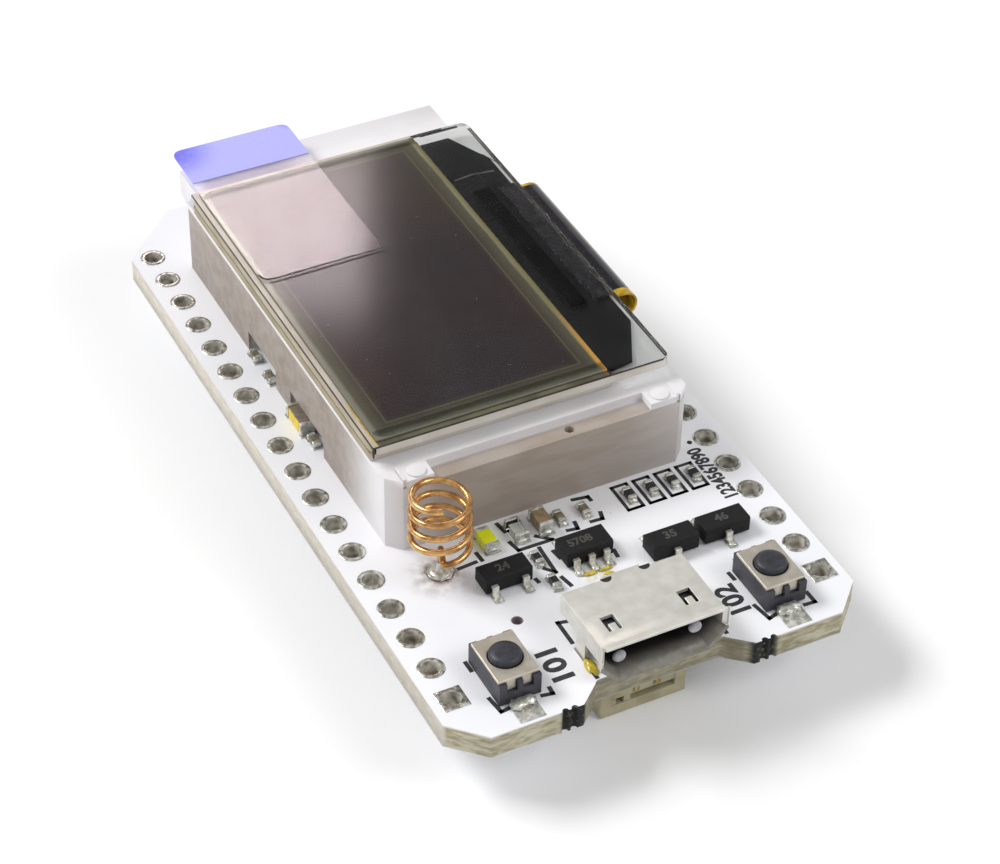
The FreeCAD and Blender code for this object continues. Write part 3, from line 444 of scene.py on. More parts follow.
def make_finishes():
    colours = bpy.context.scene.radio_board_colours
    board_coating(colours.board)
    laminate_edge()
    display_face()
    frosted_plastic()
    chip_resin()
    amber_flux()
    pull_grip(colours.grip)
    clear_sheet("clear_film", "#C9C6C9", 0.012, 0.12, 0.0, 0.0)
    clear_sheet("pull_strip", "#FFF4F7", 0.02, 0.13, 0.31, 0.9)
    pane("front_pane", "#F1F6F2")
    pane("rear_pane", "#D9D6C4", 0.05)
    pane("lamp_lens", "#E9F0DF", 0.12)
    worn("tinned_metal", "#ECEBE5", "#B9B7AC", 0.3, 0.55, 0.35, 0.12, 0.4)
    worn("ring_tin", "#E6E5DD", "#77756A", 0.26, 0.85, 0.28, 0.12, 0.5)
    worn("bore_plating", "#EFECE4", "#7F796A", 0.3, 0.3, 0.6, 0.12, 0.3)
    worn("bare_hole", "#B3A4A8", "#8F8085", 0.5, 0.0, 0.5, 0.15, 0.3)
    worn("solder", "#F0F0EB", "#A3A295", 0.24, 0.55, 0.3, 0.1, 0.7)
    worn("shell_steel", "#EAE9E2", "#DAD8CE", 0.4, 0.55, 0.9, 0.1, 0.25)
    shell_inside()
    # The socket's black tongue and the painted shadows in its windows and notches.
    worn("socket_shadow", "#2A2A2C", "#1C1C1E", 0.5)
    worn("cover_nickel", "#CFC8BA", "#BBB3A4", 0.4, 0.65, 0.8, 0.1, 0.2)
    worn("can_tin", "#CFCFCB", "#A9A9A4", 0.28, 1.0, 1.6, 0.2, 0.25)
    worn("gold_contact", "#D8B870", "#A98B4A", 0.25, 1.0)
    worn("coil_copper", colours.copper, "#A06C36", 0.24, 0.9, 0.6, 0.15, 0.3, Coat_Weight=0.4)
    worn("switch_base", "#3D3D47", "#2C2C34", 0.5)
    worn("switch_cap", "#34353F", "#232429", 0.42, 0.0, 0.4, 0.05, 0.5)
    worn("socket_white", "#D7D7D6", "#B9B9B8", 0.4)
    worn("slot_shade", "#8D8768", "#75704F", 0.6)
    worn("socket_grey", "#C9C9CE", "#96959C", 0.5, 0.0, 0.5)
    worn("cream_plastic", "#BBB392", "#9B9376", 0.42)
    worn("ceramic_tan", "#9C8767", "#75644D", 0.45, 0.0, 0.4)
    worn("ceramic_dim", "#8C8468", "#5F5B47", 0.42, 0.0, 0.3)
    worn("resistor_black", "#1D1D20", "#2D2C30", 0.3, 0.0, 0.3)
    worn("inductor_top", "#8F8074", "#6F6459", 0.5, 0.0, 0.4)
    worn("inductor_skirt", "#FBE01C", "#DDB813", 0.4, 0.0, 0.4)
    worn("lamp_yellow", colours.lamp, "#E6E200", 0.28, 0.0, 0.5)
    worn("ribbon_black", "#1B191D", "#2A272C", 0.26, 0.0, 1.5, 0.2, 0.2, Coat_Weight=0.3)
    worn("ribbon_amber", "#F0C81E", "#9F7414", 0.3, 0.0, 0.6, Transmission_Weight=0.2)
    worn("tape_black", "#131215", "#0E0D10", 0.35, 0.0, 2.2, 0.3, 0.15, Specular_IOR_Level=0.15)
    worn("tape_crease", "#8A8A88", "#5F5D60", 0.35)
    # Dark finish for the char round the aerial's joint and the painted shade line along the strip's near
    # edge.
    worn("strip_edge", "#4A3F41", "#372D30", 0.6, Specular_IOR_Level=0.0)
    worn("seal_dark", "#23211D", "#3A3528", 0.4)
    worn("seal_olive", "#A89C80", "#8A7D57", 0.4, 0.0, 1.8)
    worn("pane_front", "#DCD7D0", "#C9C1B6", 0.25, 0.0, 3.0)
    worn("border_resin", "#C2B9AC", "#ABA08F", 0.25, 0.0, 3.0)
    worn("border_olive", "#6D6A56", "#504C3B", 0.25, 0.0, 2.0)
    worn("printed_ink", "#1E1E20", "#3A3A3C", 0.55, 0.0, 0.2)
    worn("faint_ink", "#4B4A46", "#3A3935", 0.6, 0.0, 0.2)
    worn("pane_side", "#BBAE96", "#9C8C68", 0.25, 0.0, 2.5)
    worn("silicon", "#131215", "#0E0D10", 0.3, Specular_IOR_Level=0.15)
    worn("dust", "#8F8B86", "#6E6A66", 0.8)
    worn("card_black", "#1E1D1F", "#262527", 0.9)


# Forms

class Form:
    """Corners in millimetres with faces, each face with the number of its finish."""

    def __init__(self):
        self.corners = []
        self.faces = []
        self.numbers = []

    def add(self, corners, faces, number=0):
        start = len(self.corners)
        self.corners += [Vector(corner) for corner in corners]
        self.faces += [[start + index for index in face] for face in faces]
        self.numbers += [number] * len(faces)
        return self

    def rings(self, loops, number=0, closed=False, capped=True):
        """Loops of as many corners each, joined one to the next."""
        count = len(loops[0])
        corners = [corner for loop in loops for corner in loop]
        faces = []
        steps = len(loops) if closed else len(loops) - 1
        for step in range(steps):
            low, high = step * count, (step + 1) % len(loops) * count
            for index in range(count):
                after = (index + 1) % count
                faces.append([low + index, low + after, high + after, high + index])
        if capped and not closed:
            faces.append(list(range(count))[::-1])
            faces.append([(len(loops) - 1) * count + index for index in range(count)])
        return self.add(corners, faces, number)

    def prism(self, outline, low, high, number=0):
        """An upright plate on an outline that goes round against the clock."""
        return self.rings([[(x, y, level) for x, y in outline] for level in (low, high)], number)

    def block(self, x0, x1, y0, y1, z0, z1, number=0):
        return self.prism([(x0, y0), (x1, y0), (x1, y1), (x0, y1)], z0, z1, number)

    def turned(self, profile, x, y, steps=32, number=0, closed=False):
        """A profile of radius and level, turned upright; a third value of 1 makes a square."""
        loops = []
        for entry in profile:
            radius, level = entry[:2]
            loop = []
            for step in range(steps):
                angle = 2 * math.pi * step / steps
                across, along = math.cos(angle), math.sin(angle)
                reach = radius
                if len(entry) > 2 and entry[2]:
                    reach = radius / max(abs(across), abs(along))
                loop.append((x + reach * across, y + reach * along, level))
            loops.append(loop)
        return self.rings(loops, number, closed)

    def line(self, points, width, low, high, number=0):
        """A drawn line of even width as thin raised ink, each stretch a little past its corner."""
        for start, end in zip(points, points[1:]):
            first, last = Vector(start), Vector(end)
            along = (last - first).normalized() * (width / 2)
            side = Vector((-along.y, along.x))
            corners = [first - along - side, last + along - side, last + along + side, first - along + side]
            self.prism([tuple(corner) for corner in corners], low, high, number)
        return self

    def tube(self, points, radius, steps=14, number=0):
        """A round wire that follows points."""
        path = [Vector(point) for point in points]
        side = Vector((0, 1, 0))
        loops = []
        for index, point in enumerate(path):
            ahead = path[min(index + 1, len(path) - 1)] - path[max(index - 1, 0)]
            side = (side - side.project(ahead)).normalized()
            up = ahead.normalized().cross(side)
            turns = [2 * math.pi * step / steps for step in range(steps)]
            loops.append([point + radius * (math.cos(a) * side + math.sin(a) * up) for a in turns])
        return self.rings(loops, number)

    def blob(self, centre, radii, seed, rough=0.18, number=0):
        """A rounded lump, uneven by a share of its size."""
        lump = bmesh.new()
        bmesh.ops.create_icosphere(lump, subdivisions=3, radius=1.0)
        shift = Vector((seed * 1.7, seed * 0.9, seed * 2.3))
        corners = []
        for vert in lump.verts:
            swell = 1 + rough * noise.noise(vert.co * 1.6 + shift)
            corners.append([centre[k] + vert.co[k] * radii[k] * swell for k in range(3)])
        self.add(corners, [[v.index for v in face.verts] for face in lump.faces], number)
        lump.free()
        return self

    def mesh(self, name):
        mesh = bpy.data.meshes.new(name)
        mesh.from_pydata([corner * MM for corner in self.corners], [], self.faces)
        mesh.polygons.foreach_set("material_index", self.numbers)
        work = bmesh.new()
        work.from_mesh(mesh)
        bmesh.ops.recalc_face_normals(work, faces=work.faces)
        work.to_mesh(mesh)
        work.free()
        return mesh


def merged(mesh, outwards=True):
    """Joins the corners that lie in one place and, where asked, turns the faces outwards."""
    work = bmesh.new()
    work.from_mesh(mesh)
    bmesh.ops.remove_doubles(work, verts=work.verts, dist=1e-7)
    if outwards:
        bmesh.ops.recalc_face_normals(work, faces=work.faces)
    work.to_mesh(mesh)
    work.free()
    return mesh


def gathered(name, meshes):
    """One mesh that holds all the given ones."""
    work = bmesh.new()
    for mesh in meshes:
        work.from_mesh(mesh)
    whole = bpy.data.meshes.new(name)
    work.to_mesh(whole)
    work.free()
    return whole


def mesh_of(curve):
    """The solid form of a flat curve or a lettering curve."""
    holder = bpy.data.objects.new(curve.name + "_curve", curve)
    bpy.context.scene.collection.objects.link(holder)
    graph = bpy.context.evaluated_depsgraph_get()
    graph.update()
    mesh = bpy.data.meshes.new_from_object(holder.evaluated_get(graph))
    bpy.data.objects.remove(holder)
    return mesh


def placed(name, mesh, finishes):
    """An object at the origin with its finishes."""
    piece = bpy.data.objects.new(name, mesh)
    bpy.context.scene.collection.objects.link(piece)
    if mesh.materials:
        mesh.materials.clear()
    for finish in finishes:
        mesh.materials.append(Finish.made[finish])
    return piece


def settled(piece):
    """The piece with its modifiers worked into a plain mesh."""
    graph = bpy.context.evaluated_depsgraph_get()
    graph.update()
    mesh = bpy.data.meshes.new_from_object(piece.evaluated_get(graph))
    piece.modifiers.clear()
    piece.data = mesh
    return piece


def softened(piece, width, angle):
    """Breaks the piece's sharp edges by a small width in millimetres."""
    bevel = piece.modifiers.new("edges", "BEVEL")
    bevel.width = width * MM
    bevel.segments = 2
    bevel.limit_method = "ANGLE"
    bevel.angle_limit = math.radians(angle)
    bevel.use_clamp_overlap = True
    bevel.harden_normals = True
    return settled(piece)


SMOOTH = 38.0
SOFT = 60.0


def shaded(piece, angle=SMOOTH):
    """Smooth shading with sharp edges kept where the surface turns hard."""
    piece.data.shade_smooth()
    piece.data.set_sharp_from_angle(angle=math.radians(angle))
    return piece


def from_solid(node, name, finishes, width=0.0, angle=35.0):
    """A copy of a CAD solid with its triangles merged, ready to be worked further."""
    mesh = merged(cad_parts[node].data.copy(), outwards=False)
    mesh.name = name
    piece = shaded(placed(name, mesh, finishes))
    return softened(piece, width, angle) if width else piece


def fitted(piece, nodes, body=BOARD):
    """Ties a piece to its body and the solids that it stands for."""
    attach(piece, body)
    if nodes:
        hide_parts(*nodes)
    return piece


def added(name, form, finish, smooth=None):
    """A small piece with no solid of its own, smooth below an angle where one is given."""
    piece = placed(name, form.mesh(name), [finish])
    if smooth:
        shaded(piece, smooth)
    return fitted(piece, [])


def coat(node, finish):
    """Gives a CAD solid that stays in view its finish."""
    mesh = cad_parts[node].data
    mesh.materials.clear()
    mesh.materials.append(Finish.made[finish])


def rounded(points, radius, steps=4):
    """An outline with each of its corners turned through an arc."""
    result = []
    count = len(points)
    for index, point in enumerate(points):
        here = Vector(point)
        back = (Vector(points[index - 1]) - here)
        ahead = (Vector(points[(index + 1) % count]) - here)
        reach = min(radius, 0.45 * back.length, 0.45 * ahead.length)
        first = here + back.normalized() * reach
        last = here + ahead.normalized() * reach
        for step in range(steps + 1):
            share = step / steps
            mixed = first * (1 - share) ** 2 + here * (2 * share * (1 - share)) + last * share ** 2
            result.append((mixed.x, mixed.y))
    return result


# Geometry Nodes

class Tree:
    """A geometry tree with named inputs, put on a piece and then worked into its mesh."""

    def __init__(self, name, inputs):
        self.tree = bpy.data.node_groups.new(name, "GeometryNodeTree")
        face = self.tree.interface
        self.sockets = {}
        face.new_socket("Geometry", in_out="INPUT", socket_type="NodeSocketGeometry")
        for label, kind in inputs.items():
            self.sockets[label] = face.new_socket(label, in_out="INPUT", socket_type=kind).identifier
        face.new_socket("Geometry", in_out="OUTPUT", socket_type="NodeSocketGeometry")
        self.given = self.tree.nodes.new("NodeGroupInput")

    def node(self, kind, settings=None, out=0, **inputs):
        node = self.tree.nodes.new(kind)
        for key, value in (settings or {}).items():
            setattr(node, key, value)
        for key, value in inputs.items():
            socket = node.inputs[key.replace("_", " ")]
            if isinstance(value, bpy.types.NodeSocket):
                self.tree.links.new(value, socket)
            else:
                socket.default_value = value
        return node.outputs[out]

    def finished(self, geometry):
        """Ends the tree: instances made real and the finish set."""
        real = self.node("GeometryNodeRealizeInstances", Geometry=geometry)
        coated = self.node("GeometryNodeSetMaterial", Geometry=real, Material=self.given.outputs["Finish"])
        result = self.tree.nodes.new("NodeGroupOutput")
        self.tree.links.new(coated, result.inputs[0])

    def worked(self, piece, **values):
        modifier = piece.modifiers.new("pattern", "NODES")
        modifier.node_group = self.tree
        for key, value in values.items():
            modifier[self.sockets[key.replace("_", " ")]] = value
        return settled(piece)


def row_tree():
    """Repeats a piece along the board at an even pitch."""
    tree = Tree("even_row", {
        "Count": "NodeSocketInt", "Pitch across": "NodeSocketFloat",
        "Pitch along": "NodeSocketFloat", "Finish": "NodeSocketMaterial",
    })
    given = tree.given.outputs
    offset = tree.node(
        "ShaderNodeCombineXYZ", X=given["Pitch across"], Y=given["Pitch along"], Z=0.0,
    )
    line = tree.node("GeometryNodeMeshLine", Count=given["Count"], Offset=offset)
    copies = tree.node("GeometryNodeInstanceOnPoints", Points=line, Instance=given["Geometry"])
    tree.finished(copies)
    return tree


def coil_tree():
    """Winds a round wire into turns that stray a little, as a coil wound by hand does."""
    tree = Tree("wound_coil", {
        "Turns": "NodeSocketFloat", "Radius": "NodeSocketFloat", "Height": "NodeSocketFloat",
        "End radius": "NodeSocketFloat",
        "Wire radius": "NodeSocketFloat", "Stray": "NodeSocketFloat", "Finish": "NodeSocketMaterial",
    })
    given = tree.given.outputs
    spiral = tree.node(
        "GeometryNodeCurveSpiral", Resolution=56, Rotations=given["Turns"], Reverse=True,
        Start_Radius=given["Radius"], End_Radius=given["End radius"], Height=given["Height"],
    )
    stray = tree.node(
        "ShaderNodeTexNoise", {"noise_dimensions": "4D"}, out=1, W=3.4, Scale=330.0, Detail=1.0,
    )
    level = tree.node(
        "ShaderNodeVectorMath", {"operation": "SUBTRACT"}, Vector=stray,
    )
    level.node.inputs[1].default_value = (0.5, 0.5, 0.5)
    scaled = tree.node("ShaderNodeVectorMath", {"operation": "SCALE"}, Vector=level, Scale=given["Stray"])
    moved = tree.node("GeometryNodeSetPosition", Geometry=spiral, Offset=scaled)
    section = tree.node("GeometryNodeCurvePrimitiveCircle", Resolution=14, Radius=given["Wire radius"])
    wire = tree.node("GeometryNodeCurveToMesh", Curve=moved, Profile_Curve=section, Fill_Caps=True)
    smooth = tree.node("GeometryNodeSetShadeSmooth", Geometry=wire)
    joined = tree.node("GeometryNodeJoinGeometry")
    tree.tree.links.new(smooth, joined.node.inputs[0])
    tree.tree.links.new(given["Geometry"], joined.node.inputs[0])
    tree.finished(joined)
    return tree


def dust_tree():
    """Scatters specks over a sheet, each turned and sized by chance from a fixed seed."""
    tree = Tree("settled_dust", {
        "Density": "NodeSocketFloat", "Seed": "NodeSocketInt", "Speck size": "NodeSocketFloat",
        "Finish": "NodeSocketMaterial",
    })
    given = tree.given.outputs
    points = tree.node(
        "GeometryNodeDistributePointsOnFaces", Mesh=given["Geometry"],
        Density=given["Density"], Seed=given["Seed"],
    )
    speck = tree.node("GeometryNodeMeshIcoSphere", Radius=given["Speck size"], Subdivisions=1)
    turn = tree.node(
        "FunctionNodeRandomValue", {"data_type": "FLOAT_VECTOR"}, Max=(0.2, 0.2, 6.28), Seed=11,
    )
    size = tree.node(
        "FunctionNodeRandomValue", {"data_type": "FLOAT_VECTOR"},
        Min=(0.4, 0.3, 0.25), Max=(2.2, 0.8, 0.4), Seed=12,
    )
    copies = tree.node(
        "GeometryNodeInstanceOnPoints", Points=points, Instance=speck, Rotation=turn, Scale=size,
    )
    tree.finished(copies)
    return tree


# Circuit board

def rectangle(left, right, near, far):
    """The four corners of a rectangle, from its near left one round to the far left one."""
    return [(left, near), (right, near), (right, far), (left, far)]


def circle(x, y, radius, steps=28):
    angles = [2 * math.pi * step / steps for step in range(steps)]
    return [(x + radius * math.cos(angle), y + radius * math.sin(angle)) for angle in angles]


def row_places():
    count = bpy.context.scene.radio_board_sizes.holes_per_row
    return [ROW_START + index * ROW_PITCH for index in range(count)]


def bitten(start, end, bites, radius):
    """A front edge from one x to another with half-round bites where the board was snapped."""
    points = [(start, FRONT)]
    for x in bites:
        for step in range(7):
            angle = math.pi * (1 - step / 6)
            reach = radius * math.cos(angle)
            points.append((x + reach, FRONT + radius * math.sin(angle)))
    return points + [(end, FRONT)]


def mirrored(points):
    """The same outline on the other side of the middle, in the order that closes it."""
    return [(-x, y) for x, y in reversed(points)]


SIDE = 12.7
BACK = 25.5
FRONT = -BACK
FRONT_CUT = 1.9
BACK_CUT = 4.0
BAY_REACH = 5.3
BITES = (5.85, 6.4)
BITE_RADIUS = 0.2
VIAS = ((-5.6, -18.3), (0.4, -17.75), (2.4, -17.75))
VIA_RADIUS = 0.35
BOARD_HOLE_RADIUS = 0.55
BORE_RADIUS = 0.5
SHELL_SLOT = (3.625, -22.1, 0.22, 0.6)


def board_outline():
    """The board's outline with cut corners, a shallow bay and bitten stubs at its front."""
    bay = [(3.6, -24.2), (3.82, -24.22), (3.96, -24.3), (4.05, -24.42), (5.08, -25.3)]
    front = bay + bitten(BAY_REACH, SIDE - FRONT_CUT, BITES, BITE_RADIUS)
    side = [(SIDE, FRONT + FRONT_CUT), (SIDE, BACK - BACK_CUT), (SIDE - BACK_CUT, BACK)]
    return mirrored(front) + front + side + mirrored(side)


def flat_mesh(name, outlines, low, high):
    """A filled flat outline with holes, raised between two levels."""
    curve = bpy.data.curves.new(name, "CURVE")
    curve.dimensions = "2D"
    curve.fill_mode = "BOTH"
    curve.extrude = (high - low) / 2 * MM
    for points in outlines:
        spline = curve.splines.new("POLY")
        spline.points.add(len(points) - 1)
        for point, (x, y) in zip(spline.points, points):
            point.co = (x * MM, y * MM, 0, 1)
        spline.use_cyclic_u = True
    mesh = mesh_of(curve)
    mesh.transform(Matrix.Translation((0, 0, (low + high) / 2 * MM)))
    return merged(mesh)


def make_board():
    outlines = [board_outline()]
    for side in (-1, 1):
        outlines += [circle(side * ROW_X, y, BOARD_HOLE_RADIUS) for y in row_places()]
        across, y, reach, half = SHELL_SLOT
        x = side * across
        outlines.append(rectangle(x - reach, x + reach, y - half, y + half))
    vias = [circle(x, y, VIA_RADIUS) for x, y in VIAS]
    mesh = flat_mesh("board", outlines + vias, UNDER, TOP)
    board = placed("board", mesh, ["board_coating", "laminate_edge"])
    for face in mesh.polygons:
        face.material_index = 0 if abs(face.normal.z) > 0.9 else 1
    fitted(board, ["circuit_board"])
    form = Form()
    bore = VIA_RADIUS - 0.04
    wall = [(bore, UNDER), (VIA_RADIUS, UNDER), (VIA_RADIUS, TOP - 0.01), (bore, TOP - 0.01)]
    for x, y in VIAS:
        form.turned(wall, x, y, 28, closed=True)
        form.turned([(VIA_RADIUS - 0.01, 4.2), (VIA_RADIUS - 0.01, 4.4)], x, y, 28)
    added("via_linings", form, "bare_hole", SMOOTH)


def ring_profile(square):
    radius = bpy.context.scene.radio_board_sizes.ring_radius / MM
    outside = [(radius - 0.05, UNDER - 0.06), (radius, UNDER - 0.03), (radius, UNDER)]
    above = [(radius, TOP), (radius, TOP + 0.03), (radius - 0.05, SEAT)]
    if square:
        outside = [(*entry, 1) for entry in outside]
        above = [(*entry, 1) for entry in above]
    inside = [(0.6, SEAT), (0.53, SEAT - 0.015), (BORE_RADIUS, TOP - 0.01), (BORE_RADIUS, UNDER - 0.01)]
    barrel = [(BOARD_HOLE_RADIUS, UNDER), (BOARD_HOLE_RADIUS, TOP)]
    return outside + barrel + above + inside


def make_header_rings():
    row = row_tree()
    for name, side in (("left", -1), ("right", 1)):
        one = Form().turned(ring_profile(False), side * ROW_X, ROW_START + ROW_PITCH, 32, closed=True)
        rings = placed(name + "_rings", one.mesh(name + "_rings"), ["ring_tin"])
        row.worked(
            rings, Count=len(row_places()) - 1, Pitch_across=0.0, Pitch_along=ROW_PITCH * MM,
            Finish=Finish.made["ring_tin"],
        )
        first = Form().turned(ring_profile(True), side * ROW_X, ROW_START, 32, closed=True)
        work = bmesh.new()
        work.from_mesh(rings.data)
        work.from_mesh(first.mesh(name + "_first_ring"))
        work.to_mesh(rings.data)
        work.free()
        rings.data.materials.append(Finish.made["bore_plating"])
        for face in rings.data.polygons:
            away = (face.center.y / MM - ROW_START) % ROW_PITCH
            away = min(away, ROW_PITCH - away)
            if math.hypot(face.center.x / MM - side * ROW_X, away) < BORE_RADIUS + 0.015:
                face.material_index = 1
        fitted(shaded(rings), [name + "_header_rings"])


# Display and its bracket

JOIN_X = 8.62
GLASS_TRIM = 0.4
GLASS_CORNER = 0.7
GLASS_EDGE = 0.03
LEDGE = 10.5
FRONT_TOP = 11.1


def make_bracket():
    bracket = from_solid("display_bracket", "bracket", ["frosted_plastic"], 0.13, 30.0)
    fitted(bracket, ["display_bracket"])
    low, high = span("display_bracket")
    joins = Form()
    for x in (-JOIN_X, JOIN_X):
        joins.block(x - 0.1, x + 0.1, low.y + 0.09, low.y + 1.25, high.z - 0.55, high.z - 0.02)
    added("bracket_joins", joins, "frosted_plastic")


def sides_marked(sheet, limit):
    """Gives the second finish to a sheet's left side and the third to its near side."""
    for face in sheet.data.polygons:
        if face.normal.x < -limit:
            face.material_index = 1
        elif face.normal.y < -limit:
            face.material_index = 2
    return sheet


def front_pane():
    """The front glass with rounded corners, drawn in at the right beside the ribbon."""
    low, high = span("front_glass")
    high.x -= GLASS_TRIM
    outline = rounded(rectangle(low.x, high.x, low.y, high.y), GLASS_CORNER, 5)
    middle = (low + high) / 2
    inner = [(x + GLASS_EDGE * (1 if x < middle.x else -1), y + GLASS_EDGE * (1 if y < middle.y else -1))
             for x, y in outline]
    loops = ((outline, low.z), (outline, high.z - GLASS_EDGE), (inner, high.z))
    form = Form().rings([[(x, y, level) for x, y in loop] for loop, level in loops])
    return placed("front_pane", form.mesh("front_pane"), ["front_pane", "pane_side", "pane_front"])


def make_panel():
    rear = from_solid("rear_glass", "rear_pane", ["rear_pane", "seal_olive", "pane_front"], 0.04, 30.0)
    fitted(sides_marked(rear, 0.5), ["rear_glass"])
    fitted(sides_marked(front_pane(), 0.8), ["front_glass"])
    fitted(from_solid("polarizer", "display_face", ["display_face"], 0.03), ["polarizer"])
    make_seals()
    make_borders()
    make_ledge()


def make_seals():
    """Dark seal between the panes and the dark line round the front one."""
    low, high = span("rear_glass")
    form = Form()
    proud = 0.012
    form.block(low.x - proud, low.x + 0.3, low.y + 0.1, high.y - 0.1, LEDGE - 0.025, LEDGE + 0.01)
    form.block(low.x + 0.1, high.x, low.y - proud, low.y + 0.3, LEDGE - 0.025, LEDGE + 0.01)
    low, high = span("front_glass")
    high.x -= GLASS_TRIM
    line = (FRONT_TOP - 0.08, FRONT_TOP + 0.01)
    form.block(low.x - proud, low.x + 0.05, low.y + 0.05, high.y - 0.1, *line)
    form.block(low.x + 0.02, high.x - 0.5, low.y - proud, low.y + 0.05, *line)
    form.blob((low.x + 0.04, low.y + 0.02, LEDGE + 0.22), (0.075, 0.075, 0.4), 61, 0.1)
    added("panel_seals", form, "seal_dark")


def make_borders():
    """Resin that fills the step between the front pane's edge and the dark sheet."""
    low, high = span("front_glass")
    face_low, face_high = span("polarizer")
    fill = (FRONT_TOP, FRONT_TOP + 0.012)
    left, back, front = face_low.x - 0.02, face_high.y + 0.02, face_low.y - 0.02
    form = Form().block(low.x + 0.05, left, low.y + 0.05, high.y - 0.03, *fill)
    form.block(left, face_high.x, back, high.y - 0.03, *fill)
    near = Form().block(left, face_high.x, low.y + 0.05, front, *fill)
    added("panel_border", form, "border_resin")
    added("near_border", near, "border_olive")
    seep = Form().block(low.x + 0.27, low.x + 0.35, low.y + 0.15, low.y + 4.2, FRONT_TOP, FRONT_TOP + 0.016)
    added("corner_resin", seep, "ribbon_amber")


def make_ledge():
    """The glass's ledge beside the dark sheet: its dark edges, the driver chip and the tape."""
    low, high = span("front_glass")
    high.x -= GLASS_TRIM
    start, end = 6.0, high.x - 0.6
    form = Form().block(high.x - 0.12, high.x - 0.02, low.y + 0.5, high.y - 0.5, LEDGE, LEDGE + 0.06)
    form.block(start, end, low.y + 0.02, low.y + 0.1, LEDGE, LEDGE + 0.08)
    form.block(start, end, high.y - 0.1, high.y - 0.02, LEDGE, LEDGE + 0.06)
    added("ledge_edges", form, "seal_dark")
    coat("driver_chip", "silicon")
    low, high = span("light_shield_tape")
    right = high.x - GLASS_TRIM
    near = [(low.x, low.y + 0.45), (7.4, low.y + 0.75), (right, -3.9)]
    shape = near + [(right, 14.6), (7.75, high.y), (low.x, high.y)]
    tape = placed("tape", Form().prism(shape, low.z, high.z).mesh("tape"), ["tape_black"])
    fitted(tape, ["light_shield_tape"])
    crease = Form()
    crease.line([(6.1, 13.3), (7.3, 13.45), (8.7, 13.25)], 0.14, 10.2, 10.225)
    crease.line([(8.9, 15.2), (9.3, 14.1)], 0.06, 10.2, 10.22)
    added("tape_creases", crease, "tape_crease")


def make_film():
    fitted(from_solid("protective_film", "film", ["clear_film"]), ["protective_film"])
    low, high = span("pull_tab_strip")
    bend = ((0, 0.7), (0.1, 0.3), (0.3, 0.1), (0.7, 0))
    corner = [(low.x + across, low.y + along) for across, along in bend]
    strip = Form().prism(corner + [(high.x, low.y), (high.x, high.y), (low.x, high.y)], low.z, high.z)
    fitted(placed("strip", strip.mesh("strip"), ["pull_strip"]), ["pull_tab_strip"])
    # A thin dark line along the strip's near edge: painted shade of its cut edge.
    form = Form()
    form.line(corner + [(high.x, low.y + 0.05)], 0.12, high.z + 0.001, high.z + 0.006)
    added("strip_rim", form, "strip_edge")
    low, high = span("pull_tab_grip")
    square = [(low.x, low.y), (high.x, low.y)]
    far = rounded([(high.x, low.y), (high.x, high.y), (low.x, high.y), (low.x, low.y)], 0.7, 6)
    turned_corners = [point for point in far if point[1] > high.y - 0.8]
    grip = Form().prism(square + turned_corners, low.z, high.z)
    fitted(placed("grip", grip.mesh("grip"), ["pull_grip"]), ["pull_tab_grip"])
    sizes = bpy.context.scene.radio_board_sizes
    low, high = span("protective_film")
    area = (high.x - low.x) * (high.y - low.y) * MM * MM
    corners = rectangle(low.x, high.x, low.y, high.y)
    sheet = Form().add([(x, y, high.z) for x, y in corners], [[0, 1, 2, 3]])
    dust = placed("dust", sheet.mesh("dust"), ["dust"])
    dust_tree().worked(
        dust, Density=sizes.dust_specks / area, Seed=7, Speck_size=0.03 * MM,
        Finish=Finish.made["dust"],
    )
    fitted(shaded(dust), [])


RIBBON_THICKNESS = 0.13
RIBBON_TURN = 0.93
RIBBON_TURN_X = 10.07
RIBBON_SEEN_X = 9.1
RIBBON_BEND = 0.5
RIBBON_DROP_X = 6.9
RIBBON_ENDS = (8.03, 3.77)


def ribbon_side(inset):
    """One side of the folded ribbon as places across and levels; inset is 0 or its thickness."""
    def arc(x, z, radius, start, end, steps=12):
        angles = [math.radians(start + (end - start) * step / steps) for step in range(steps + 1)]
        return [(x + radius * math.cos(a), z + radius * math.sin(a)) for a in angles]

    middle = LEDGE - RIBBON_TURN
    flat = [(x, LEDGE - inset) for x in (RIBBON_ENDS[0], RIBBON_SEEN_X, 9.3, 9.9, 10.03)]
    path = flat + arc(RIBBON_TURN_X, middle, RIBBON_TURN - inset, 90, -90, 28)
    knee = middle - RIBBON_TURN - RIBBON_BEND
    heel = RIBBON_BEND + RIBBON_THICKNESS - inset
    path += arc(RIBBON_DROP_X, knee, RIBBON_BEND + inset, 90, 180)
    ankle_x = RIBBON_DROP_X - RIBBON_BEND - inset - heel
    path += arc(ankle_x, SEAT + inset + heel, heel, 0, -90)
    return path + [(RIBBON_ENDS[1], SEAT + inset)]


def make_ribbon():
    low, high = span("flex_ribbon")
    section = ribbon_side(0.0) + ribbon_side(RIBBON_THICKNESS)[::-1]
    places = [low.y, low.y + 0.6, high.y - 0.22, high.y]
    form = Form()
    for index, number in ((0, 1), (1, 0), (2, 1)):
        pair = [[(x, y, z) for x, z in section] for y in places[index:index + 2]]
        form.rings(pair, number, capped=False)
    last = len(section) - 1
    quads = [[k, k + 1, last - 1 - k, last - k] for k in range(last // 2)]
    for y in (low.y, high.y):
        form.add([(x, y, z) for x, z in section], quads, 1)
    mesh = merged(form.mesh("ribbon"))
    middle = LEDGE - RIBBON_TURN
    inside = RIBBON_TURN - 0.07
    for face in mesh.polygons:
        centre = face.center / MM
        if centre.x < RIBBON_SEEN_X:
            face.material_index = 0
        elif math.hypot(max(centre.x - RIBBON_TURN_X, 0.0), centre.z - middle) < inside:
            face.material_index = 1
    ribbon = placed("ribbon", mesh, ["ribbon_black", "ribbon_amber"])
    fitted(shaded(ribbon), ["flex_ribbon"])


# Aerial, socket and switches

